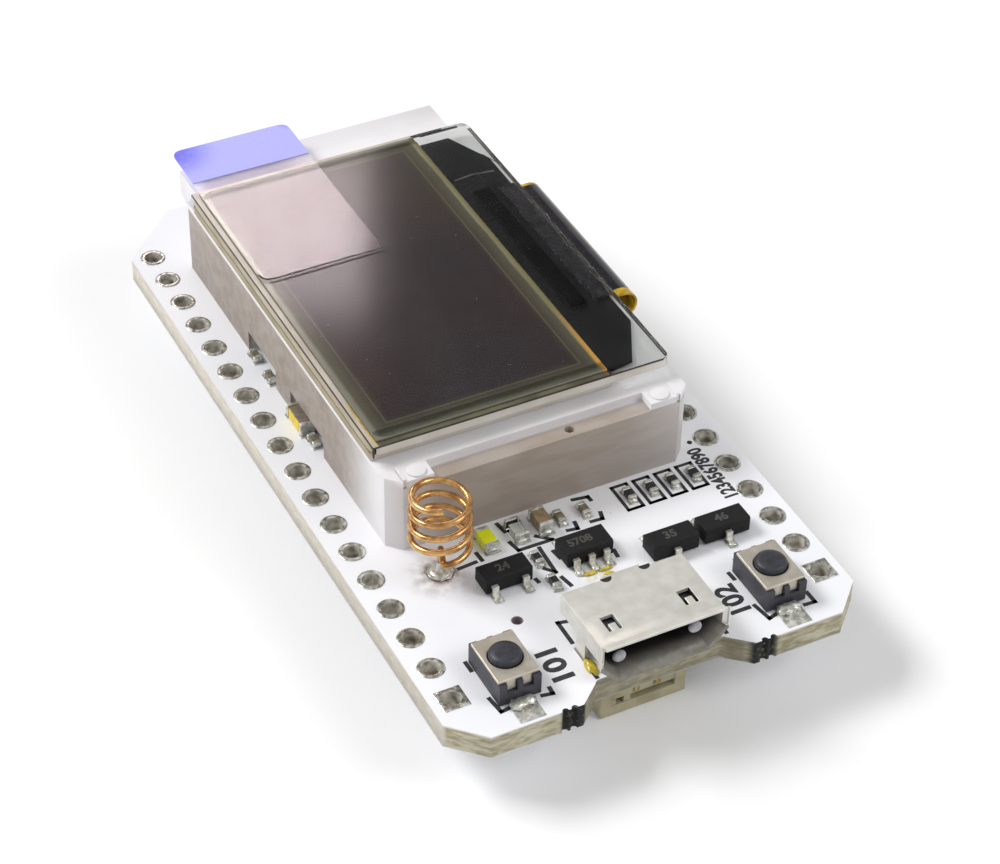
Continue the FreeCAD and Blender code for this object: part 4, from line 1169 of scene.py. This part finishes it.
COIL_X = -7.7
COIL_Y = -13.0
COIL_START = 6.9
COIL_PITCH = 0.97
COIL_ANGLE = math.radians(250.0)


def make_coil():
    sizes = bpy.context.scene.radio_board_sizes
    wire = sizes.wire_radius / MM
    reach = sizes.coil_radius / MM
    stem = [(0, 0, SEAT - COIL_START), (0, 0, -0.5), (0.04, 0, -0.28), (0.15, 0, -0.12),
            (0.34, 0, -0.03), (0.7, 0, 0), (1.35, 0, 0), (1.55, 0.04, 0), (reach - 0.02, 0.16, 0.01)]
    form = Form().tube(stem, wire, 14)
    coil = placed("coil", form.mesh("coil"), ["coil_copper"])
    shaded(coil, SOFT)
    coil_tree().worked(
        coil, Turns=sizes.coil_turns, Radius=sizes.coil_radius, End_radius=0.94 * sizes.coil_radius,
        Height=sizes.coil_turns * COIL_PITCH * MM, Wire_radius=sizes.wire_radius,
        Stray=0.00009, Finish=Finish.made["coil_copper"],
    )
    place = Matrix.Translation((COIL_X * MM, COIL_Y * MM, COIL_START * MM))
    coil.data.transform(place @ Matrix.Rotation(COIL_ANGLE, 4, "Z"))
    fitted(coil, ["coil_antenna"])
    joint = Form().blob((COIL_X, COIL_Y, SEAT + 0.02), (0.66, 0.64, 0.16), 3, 0.12)
    joint.turned([(0.3, SEAT), (0.24, SEAT + 0.3), (0.2, SEAT + 0.75)], COIL_X, COIL_Y, 24)
    collar = [(0.6, SEAT - 0.02), (0.74, SEAT - 0.02), (0.74, SEAT + 0.03), (0.6, SEAT + 0.05)]
    joint.turned(collar, COIL_X, COIL_Y, 40, closed=True)
    added("coil_joint", joint, "solder", SOFT)
    rim = [(0.73, TOP), (0.8, TOP), (0.8, TOP + INK_RISE), (0.73, TOP + INK_RISE)]
    char = Form().turned(rim, COIL_X, COIL_Y, 40, closed=True)
    added("joint_char", char, "strip_edge")


SHELL_TOP = 7.31
SHELL_MIDDLE = 6.1
SHELL_INSIDE_X = 3.72
SHELL_WINDOW_X = 2.35
SHELL_NOTCHES = (-0.96, 1.41)
SHELL_BACK = -19.61


def make_usb():
    shell = from_solid("usb_shell", "usb_shell_steel", ["shell_steel", "shell_inside"], 0.05, 30.0)
    # The inner faces and the lower lip take the darker steel: painted shade under the top plate.
    for face in shell.data.polygons:
        centre = face.center / MM
        inside = abs(centre.x) < SHELL_INSIDE_X and TOP < centre.z < SHELL_TOP - 0.06
        inward = face.normal.z * (SHELL_MIDDLE - centre.z) - face.normal.x * centre.x
        lip = face.normal.y < -0.5 and centre.z < 6.2 and centre.y < -24.2
        if lip or inside and inward > 0.1:
            face.material_index = 1
    fitted(shell, ["usb_shell"])
    coat("usb_tongue", "socket_shadow")
    coat("usb_contacts", "gold_contact")
    dark = Form()
    for x in (-SHELL_WINDOW_X, SHELL_WINDOW_X):
        dark.block(x - 0.42, x + 0.42, -23.4, -22.2, 6.7, 6.95)
    # Dark half-discs at the notches on the top: painted shade.
    for x in SHELL_NOTCHES:
        half = [point for point in circle(x, SHELL_BACK - 0.01, 0.34) if point[1] < SHELL_BACK]
        dark.prism(half, SHELL_TOP + 0.002, SHELL_TOP + 0.01)
    added("window_shadows", dark, "socket_shadow")
    blobs = Form()
    for index, (x, z) in enumerate(((-2.5, 6.05), (2.15, 6.25))):
        blobs.blob((x, -24.1, z), (0.4, 0.25, 0.38), index + 5, 0.05)
    added("opening_blobs", blobs, "socket_grey", SMOOTH)


SWITCH_X = 8.2
CAP_PROFILE = (
    (0.525, 5.84), (0.525, 6.03), (1.1, 6.03), (1.1, 6.33), (0.92, 6.33), (0.92, 6.7),
    (0.9, 6.78), (0.85, 6.85), (0.75, 6.91), (0.55, 6.955), (0.3, 6.975), (0.1, 6.98),
)
SWITCH_SOLDER = ((-0.3, -24.15, 1.0), (0.28, -24.1, 0.9), (0.0, -19.65, 0.8))


def make_switches():
    for name, side in (("left", -1), ("right", 1)):
        x = side * SWITCH_X
        base = from_solid(name + "_switch_base", name + "_base", ["switch_base"], 0.05)
        fitted(base, [name + "_switch_base"])
        cover = from_solid(name + "_switch_cover", name + "_cover", ["cover_nickel"], 0.06, 30.0)
        fitted(cover, [name + "_switch_cover"])
        coat(name + "_switch_terminals", "solder")
        coat(name + "_switch_dome", "can_tin")
        form = Form().turned(CAP_PROFILE, x, SWITCH_Y, 48)
        cap = placed(name + "_cap", form.mesh(name + "_cap"), ["switch_cap"])
        fitted(shaded(cap, 50.0), [name + "_switch_cap"], name + "_button")
        lumps = Form()
        for index, (dx, y, scale) in enumerate(SWITCH_SOLDER):
            centre = (x + dx, y, SEAT + 0.14)
            lumps.blob(centre, (0.52 * scale, 0.36 * scale, 0.24 * scale), index + side * 7, 0.35)
        added(name + "_switch_solder", lumps, "solder", SOFT)


# Chips, small parts and what is under the board

LEG_PITCH = 0.95
TRANSISTORS = ((-4.85, -15.2, 1), (4.8, -16.9, -1), (8.1, -16.9, -1))
CHARGER_X = 0.2
CHIP_TOP = SEAT + 1.08


def make_legged_chips():
    for node, name in (("transistor_bodies", "transistors"), ("charger_chip", "charger"),
                       ("voltage_regulator", "regulator"), ("memory_chip", "memory")):
        fitted(from_solid(node, name, ["chip_resin"], 0.05, 30.0), [node])
    for node, name in (("transistor_legs", "transistor_pins"), ("charger_chip_legs", "charger_pins"),
                       ("voltage_regulator_legs", "regulator_pins"), ("memory_chip_legs", "memory_pins")):
        fitted(from_solid(node, name, ["tinned_metal"], 0.03, 30.0), [node])
    spots = []
    for x, y, way in TRANSISTORS:
        legs = ((0, way), (-LEG_PITCH, -way), (LEG_PITCH, -way))
        spots += [(x + dx, y + turn * 1.28, 0.27) for dx, turn in legs]
    spots += [(CHARGER_X + dx, -16.53, 0.25) for dx in (-LEG_PITCH, 0, LEG_PITCH)]
    spots += [(CHARGER_X + dx, -13.77, 0.25) for dx in (-LEG_PITCH, LEG_PITCH)]
    feet = Form()
    for seed, (x, y, reach) in enumerate(spots, 21):
        feet.blob((x, y, SEAT + 0.03), (reach, 0.25, 0.13), seed, 0.2)
    added("leg_solder", feet, "solder", SOFT)
    coat("solder_pads", "solder")


def make_small_parts():
    pieces = (
        ("chip_resistors", "resistors", "resistor_black", "ceramic_black"),
        ("chip_capacitors", "capacitors", "ceramic_dim", "ceramic_tan"),
        ("large_capacitor", "big_capacitor", "ceramic_tan", "ceramic_tan"),
        ("chip_part_ends", "part_ends", "solder", "tinned_metal"),
        ("yellow_status_lamp", "yellow_lamp", "lamp_yellow", "lamp_yellow"),
        ("clear_status_lamp", "clear_lamp", "lamp_lens", "lamp_clear"),
    )
    for node, name, finish, slot in pieces:
        fitted(from_solid(node, name, [finish], 0.06, 30.0), [node])
    top = from_solid("edge_inductor", "inductor", ["inductor_top", "inductor_skirt"], 0.16, 30.0)
    for face in top.data.polygons:
        if face.normal.z < 0.9:
            face.material_index = 1
    fitted(top, ["edge_inductor"])
    small = (0.5, 0.05, 0.27, 0.16)
    ends = [(x, CHIP_ROW_Y, *small) for x in (0.28, 1.85, 4.8, 6.22, 7.64, 9.06)]
    large = ((-4.35, 0.42), (-2.45, 0.42), (-0.9, 0.44))
    ends += [(x, CHIP_ROW_Y, 0.82, 0.08, reach, 0.22) for x, reach in large]
    ends += [(x, y, *small) for x, y in ((-2.45, -14.55), (-2.47, -16.65))]
    fillets = Form()
    for index, (x, y, away, level, reach, height) in enumerate(ends):
        for side, seed in ((-1, 51 + 2 * index), (1, 52 + 2 * index)):
            fillets.blob((x, y + side * away, SEAT + level), (reach, 0.16, height), seed, 0.2)
    added("part_solder", fillets, "solder", SOFT)


AERIAL_RING = (
    (0.85, 1.75), (0.96, 1.75), (1.0, 1.8), (1.0, 2.15), (0.94, 2.22), (0.94, 2.3),
    (1.0, 2.37), (1.0, 2.95), (0.85, 2.95),
)
AERIAL_PLACE = (8.0, 18.5)
BATTERY_FRONT = -22.74


def make_underside():
    fitted(from_solid("shield_can", "can", ["can_tin"], 0.08, 30.0), ["shield_can"])
    for node in ("main_chip", "usb_serial_chip", "radio_chip"):
        coat(node, "chip_resin")
    for node in ("main_crystal", "radio_crystal", "battery_socket_tabs", "battery_socket_pins"):
        coat(node, "can_tin")
    coat("antenna_socket_base", "socket_white")
    coat("antenna_socket_pin", "gold_contact")
    form = Form().turned(AERIAL_RING, *AERIAL_PLACE, 40, closed=True)
    ring = placed("aerial_ring", form.mesh("aerial_ring"), ["gold_contact"])
    fitted(shaded(ring), ["antenna_socket_ring"])
    housing = from_solid("battery_socket_housing", "battery_socket", ["cream_plastic"], 0.07, 30.0)
    fitted(housing, ["battery_socket_housing"])
    slots, contacts = Form(), Form()
    front, proud, inner = BATTERY_FRONT, BATTERY_FRONT - 0.02, BATTERY_FRONT + 0.24
    wall = Form().block(-2.35, 2.35, front, inner, 1.15, 2.7)
    for x in (-1.9, -1.0):
        wall.block(x - 0.2, x + 0.2, proud, inner, 0.75, 1.15)
    for x in (-0.45, 0.85):
        slots.block(x - 0.22, x + 0.22, proud, front, 1.25, 2.1)
        contacts.block(x - 0.1, x + 0.1, proud - 0.03, proud, 1.3, 1.95)
    added("battery_wall", wall, "cream_plastic")
    added("battery_slots", slots, "slot_shade")
    added("battery_contacts", contacts, "gold_contact")


# Printed marks and flux

INK_WIDTH = 0.25
BOX_INK_WIDTH = 0.21
INK_LINES = (
    [(-9.63, -22.95), (-9.49, -24.07), (-9.05, -24.02)],
    [(-6.98, -23.96), (-6.42, -24.06), (-6.39, -23.63)],
    [(-9.58, -20.01), (-9.57, -20.65)],
    [(9.85, -23.33), (9.86, -24.13), (9.25, -24.09)],
    [(6.7, -22.95), (6.91, -24.17), (7.37, -24.05)],
    [(6.73, -20.11), (6.76, -20.61)],
    [(-2.96, -19.61), (-3.7, -19.44), (-3.71, -21.11)],
    [(-3.76, -23.19), (-3.75, -24.01)],
    [(4.25, -23.49), (4.22, -24.07)],
    [(1.78, -10.88), (2.67, -11.02), (2.7, -11.32)],
    [(2.69, -12.54), (2.55, -13.03), (1.87, -12.98)],
    [(0.97, -12.64), (0.89, -13.16), (0.31, -13.06)],
    [(-5.21, -12.54), (-5.18, -13.15)],
    [(-3.07, -10.86), (-2.97, -11.61)],
    [(-3.11, -12.55), (-2.96, -13.33), (-0.84, -13.35), (-1.54, -12.71)],
    [(-1.83, -13.67), (-1.92, -15.8), (-2.34, -15.3)],
    [(-1.24, -14.25), (-1.16, -14.88)],
    [(1.87, -15.65), (1.82, -16.13)],
    [(-6.64, -13.23), (-5.58, -13.15)],
    [(-3.18, -15.87), (-3.15, -16.08)],
    [(-1.8, -16.34), (-1.65, -17.1)],
)


BOARD_LABELS = (
    ("101", 1.75, -4.75, -23.75, 90, TOP, 1.16),
    ("102", 1.7, 6.4, -23.35, 90, TOP, 1.0),
    ("1234567890", 1.2, 10.6, -14.75, 90, TOP, 0.8),
)
CHIP_LABELS = (
    ("24", 0.8, -5.35, -15.45, 0, CHIP_TOP),
    ("35", 0.8, 4.3, -17.15, 0, CHIP_TOP),
    ("46", 0.8, 7.6, -17.15, 0, CHIP_TOP),
    ("5708", 0.75, -0.85, -15.4, 0, CHIP_TOP),
)


def digits(text, size, x, y, turn, level, squeeze=1.0):
    """Plain digits as thin ink, read from x and y onwards and turned by degrees."""
    curve = bpy.data.curves.new("digits", "FONT")
    curve.body = text
    curve.size = size * MM
    curve.extrude = 0.004 * MM
    curve.offset = 0.036 * size * MM
    curve.resolution_u = 4
    mesh = mesh_of(curve)
    place = Matrix.Translation((x * MM, y * MM, (level + INK_RISE / 2) * MM))
    turned = place @ Matrix.Rotation(math.radians(turn), 4, "Z")
    mesh.transform(turned @ Matrix.Diagonal((squeeze, 1, 1, 1)))
    return mesh


def make_ink():
    form = Form()
    for points in INK_LINES:
        form.line(points, INK_WIDTH, TOP, TOP + INK_RISE)
    across, along = 0.48, 1.05
    for index in range(4):
        x, y = 4.73 + 1.42 * index, CHIP_ROW_Y + 0.07
        box = rectangle(x - across, x + across, y - along, y + along)
        form.line(box + box[:2], BOX_INK_WIDTH, TOP, TOP + INK_RISE)
    form.turned([(0.16, TOP), (0.16, TOP + INK_RISE)], 10.35, -9.38, 16)
    labels = [digits(*label) for label in BOARD_LABELS]
    ink = gathered("ink", [form.mesh("ink_lines")] + labels)
    fitted(placed("ink", ink, ["printed_ink"]), [])
    marks = gathered("chip_marks", [digits(*label) for label in CHIP_LABELS])
    fitted(placed("chip_marks", marks, ["faint_ink"]), [])


def make_flux():
    form = Form().blob((-3.7, -23.2, TOP + 0.06), (0.3, 0.62, 0.22), 81, 0.4)
    form.blob((-0.28, -16.78, TOP + 0.06), (0.42, 0.14, 0.1), 82, 0.3)
    form.blob((0.68, -16.82, TOP + 0.06), (0.42, 0.12, 0.1), 83, 0.3)
    form.blob((0.7, -17.15, TOP + 0.02), (0.3, 0.1, 0.05), 84, 0.3)
    added("flux", form, "amber_flux", SOFT)


# Stage

def lamp(name, size, place, target, power, colour=(1.0, 1.0, 1.0)):
    """A flat lamp in metres and watts that faces its target."""
    light = bpy.data.lights.new(name, "AREA")
    light.shape = "RECTANGLE"
    light.size, light.size_y = size
    light.energy = power
    light.color = colour
    holder = bpy.data.objects.new(name, light)
    bpy.context.scene.collection.objects.link(holder)
    holder.location = place
    holder.rotation_euler = (Vector(target) - Vector(place)).to_track_quat("-Z", "Y").to_euler()
    return holder


WORLD_LEVEL = 0.47
WORLD_LEVELS_SEEN = (("Is Camera Ray", 1.0), ("Is Glossy Ray", 0.62), ("Is Transmission Ray", 0.8))


def make_world():
    """A white room that lights matt surfaces less than the camera sees it."""
    world = bpy.data.worlds.new("pale_room")
    bpy.context.scene.world = world
    world.use_nodes = True
    nodes, links = world.node_tree.nodes, world.node_tree.links
    background = nodes["Background"]
    path = nodes.new("ShaderNodeLightPath")
    total = None
    for label, level in WORLD_LEVELS_SEEN:
        step = nodes.new("ShaderNodeMix")
        links.new(path.outputs[label], step.inputs[0])
        if total is None:
            step.inputs[2].default_value = WORLD_LEVEL
        else:
            links.new(total, step.inputs[2])
        step.inputs[3].default_value = level
        total = step.outputs[0]
    links.new(total, background.inputs["Strength"])
    background.inputs["Color"].default_value = (1.0, 1.0, 1.0, 1.0)


def flat_stage(name, finish, edges, level):
    """A level rectangle, with its left, right, near and far edges."""
    corners = [(x, y, level) for x, y in rectangle(*edges)]
    form = Form().add(corners, [[0, 1, 2, 3]])
    piece = placed(name, form.mesh(name), [finish])
    return piece


def make_floor():
    finish = Finish("pale_floor")
    finish.colour(finish.mixed(finish.cloud(40.0), paint("#FBFBFC"), paint("#FDFDFD")))
    finish.rough(0.9)
    finish.set(Specular_IOR_Level=0.0)
    half = 1500.0
    flat_stage("floor", "pale_floor", (-half, half, -half, half), -0.02)


def make_lamps():
    """Soft light from both sides, with a dark card and a small lamp for the display's gloss."""
    lamp("key", size=(0.3, 0.22), place=(-0.35, 0.3, 0.5), target=(0, 0, 0), power=3.0)
    lamp("fill", size=(0.3, 0.3), place=(0.35, -0.35, 0.45), target=(0, 0, 0), power=1.1)
    card = flat_stage("dark_card", "card_black", (2, 56, 27, 96), 60)
    card.visible_camera = False
    card.visible_diffuse = False
    card.visible_shadow = False
    x, y = 0.015, 0.0748
    glare = lamp(
        "glare", size=(0.023, 0.027), place=(x, y, 0.058), target=(x, y, 0), power=0.012,
        colour=(1.0, 0.85, 0.87),
    )
    glare.rotation_euler.z = math.radians(-25.3)
    glare.visible_diffuse = False


CAMERA_LENS = 98.987
CAMERA_PLACE = Vector((-56.7465, -113.2511, 109.6813))
CAMERA_RIGHT = Vector((0.89222899, -0.45123759, 0.01766564))
CAMERA_DOWN = Vector((-0.27970214, -0.58291899, -0.762871))
CAMERA_AHEAD = Vector((0.35453371, 0.6757145, -0.64630934))


def make_camera():
    camera = bpy.data.cameras.new("camera")
    camera.lens = CAMERA_LENS
    camera.sensor_width = 36.0
    camera.clip_start = 0.01
    camera.clip_end = 10.0
    holder = bpy.data.objects.new("camera", camera)
    bpy.context.scene.collection.objects.link(holder)
    turn = Matrix((CAMERA_RIGHT, -CAMERA_DOWN, -CAMERA_AHEAD)).transposed().to_4x4()
    holder.matrix_world = Matrix.Translation(CAMERA_PLACE * MM) @ turn
    bpy.context.scene.camera = holder


def make_stage():
    make_world()
    make_floor()
    make_lamps()
    make_camera()
    bpy.context.scene.view_settings.view_transform = "Standard"


# Commands

class RADIOBOARD_OT_finishes(bpy.types.Operator):
    """Make every finish that the pieces use"""

    bl_idname = "radioboard.finishes"
    bl_label = "Finishes"

    def execute(self, context):
        make_finishes()
        return {"FINISHED"}


class RADIOBOARD_OT_board(bpy.types.Operator):
    """Make the circuit board with its holes and its sawn edge"""

    bl_idname = "radioboard.board"
    bl_label = "Circuit board"

    def execute(self, context):
        make_board()
        return {"FINISHED"}


class RADIOBOARD_OT_header_rings(bpy.types.Operator):
    """Make the two rows of tinned rings"""

    bl_idname = "radioboard.header_rings"
    bl_label = "Header rings"

    def execute(self, context):
        make_header_rings()
        return {"FINISHED"}


class RADIOBOARD_OT_bracket(bpy.types.Operator):
    """Make the moulded bracket that carries the display"""

    bl_idname = "radioboard.bracket"
    bl_label = "Display bracket"

    def execute(self, context):
        make_bracket()
        return {"FINISHED"}


class RADIOBOARD_OT_panel(bpy.types.Operator):
    """Make the display's glass, its dark sheet, its tape and its seals"""

    bl_idname = "radioboard.panel"
    bl_label = "Display"

    def execute(self, context):
        make_panel()
        return {"FINISHED"}


class RADIOBOARD_OT_film(bpy.types.Operator):
    """Make the protective film, its pull tab and the dust on them"""

    bl_idname = "radioboard.film"
    bl_label = "Film and pull tab"

    def execute(self, context):
        make_film()
        return {"FINISHED"}


class RADIOBOARD_OT_ribbon(bpy.types.Operator):
    """Make the ribbon that folds round the bracket's edge"""

    bl_idname = "radioboard.ribbon"
    bl_label = "Flex ribbon"

    def execute(self, context):
        make_ribbon()
        return {"FINISHED"}


class RADIOBOARD_OT_coil(bpy.types.Operator):
    """Wind the aerial and solder its foot"""

    bl_idname = "radioboard.coil"
    bl_label = "Coil aerial"

    def execute(self, context):
        make_coil()
        return {"FINISHED"}


class RADIOBOARD_OT_usb(bpy.types.Operator):
    """Make the pressed steel socket and what is inside it"""

    bl_idname = "radioboard.usb"
    bl_label = "USB socket"

    def execute(self, context):
        make_usb()
        return {"FINISHED"}


class RADIOBOARD_OT_switches(bpy.types.Operator):
    """Make the two push switches with their caps and solder"""

    bl_idname = "radioboard.switches"
    bl_label = "Push switches"

    def execute(self, context):
        make_switches()
        return {"FINISHED"}


class RADIOBOARD_OT_legged_chips(bpy.types.Operator):
    """Make the moulded chips, their legs and their solder"""

    bl_idname = "radioboard.legged_chips"
    bl_label = "Chips with legs"

    def execute(self, context):
        make_legged_chips()
        return {"FINISHED"}


class RADIOBOARD_OT_small_parts(bpy.types.Operator):
    """Make the resistors, capacitors, lamps and the inductor"""

    bl_idname = "radioboard.small_parts"
    bl_label = "Small parts"

    def execute(self, context):
        make_small_parts()
        return {"FINISHED"}


class RADIOBOARD_OT_underside(bpy.types.Operator):
    """Make the shielding can and the two sockets under the board"""

    bl_idname = "radioboard.underside"
    bl_label = "Underside"

    def execute(self, context):
        make_underside()
        return {"FINISHED"}


class RADIOBOARD_OT_ink(bpy.types.Operator):
    """Print the marks and the plain digits"""

    bl_idname = "radioboard.ink"
    bl_label = "Printed marks"

    def execute(self, context):
        make_ink()
        return {"FINISHED"}


class RADIOBOARD_OT_flux(bpy.types.Operator):
    """Leave the amber drops of flux"""

    bl_idname = "radioboard.flux"
    bl_label = "Flux"

    def execute(self, context):
        make_flux()
        return {"FINISHED"}


class RADIOBOARD_OT_stage(bpy.types.Operator):
    """Set the floor, the light and the camera"""

    bl_idname = "radioboard.stage"
    bl_label = "Stage"

    def execute(self, context):
        make_stage()
        return {"FINISHED"}


class RADIOBOARD_PT_sidebar(bpy.types.Panel):
    """Lists the commands with the sizes and colours that they follow."""

    bl_label = "Radio Board"
    bl_idname = "RADIOBOARD_PT_sidebar"
    bl_space_type = "VIEW_3D"
    bl_region_type = "UI"
    bl_category = "Radio Board"

    def draw(self, context):
        for group in (context.scene.radio_board_sizes, context.scene.radio_board_colours):
            for key in group.__annotations__:
                self.layout.prop(group, key)
        for item in COMMANDS:
            self.layout.operator(item.bl_idname)


COMMANDS = (
    RADIOBOARD_OT_finishes,
    RADIOBOARD_OT_board,
    RADIOBOARD_OT_header_rings,
    RADIOBOARD_OT_bracket,
    RADIOBOARD_OT_panel,
    RADIOBOARD_OT_film,
    RADIOBOARD_OT_ribbon,
    RADIOBOARD_OT_coil,
    RADIOBOARD_OT_usb,
    RADIOBOARD_OT_switches,
    RADIOBOARD_OT_legged_chips,
    RADIOBOARD_OT_small_parts,
    RADIOBOARD_OT_underside,
    RADIOBOARD_OT_ink,
    RADIOBOARD_OT_flux,
    RADIOBOARD_OT_stage,
)
GROUPS = (RadioBoardSizes, RadioBoardColours)


def register():
    for item in (*GROUPS, *COMMANDS, RADIOBOARD_PT_sidebar):
        bpy.utils.register_class(item)
    bpy.types.Scene.radio_board_sizes = PointerProperty(type=RadioBoardSizes)
    bpy.types.Scene.radio_board_colours = PointerProperty(type=RadioBoardColours)


def unregister():
    del bpy.types.Scene.radio_board_colours
    del bpy.types.Scene.radio_board_sizes
    for item in (RADIOBOARD_PT_sidebar, *COMMANDS, *GROUPS):
        bpy.utils.unregister_class(item)


def main():
    register()
    for item in COMMANDS:
        group, name = item.bl_idname.split(".")
        if getattr(getattr(bpy.ops, group), name)() != {"FINISHED"}:
            raise RuntimeError("the command " + item.bl_idname + " didn't finish")


if __name__ == "__main__":
    main()
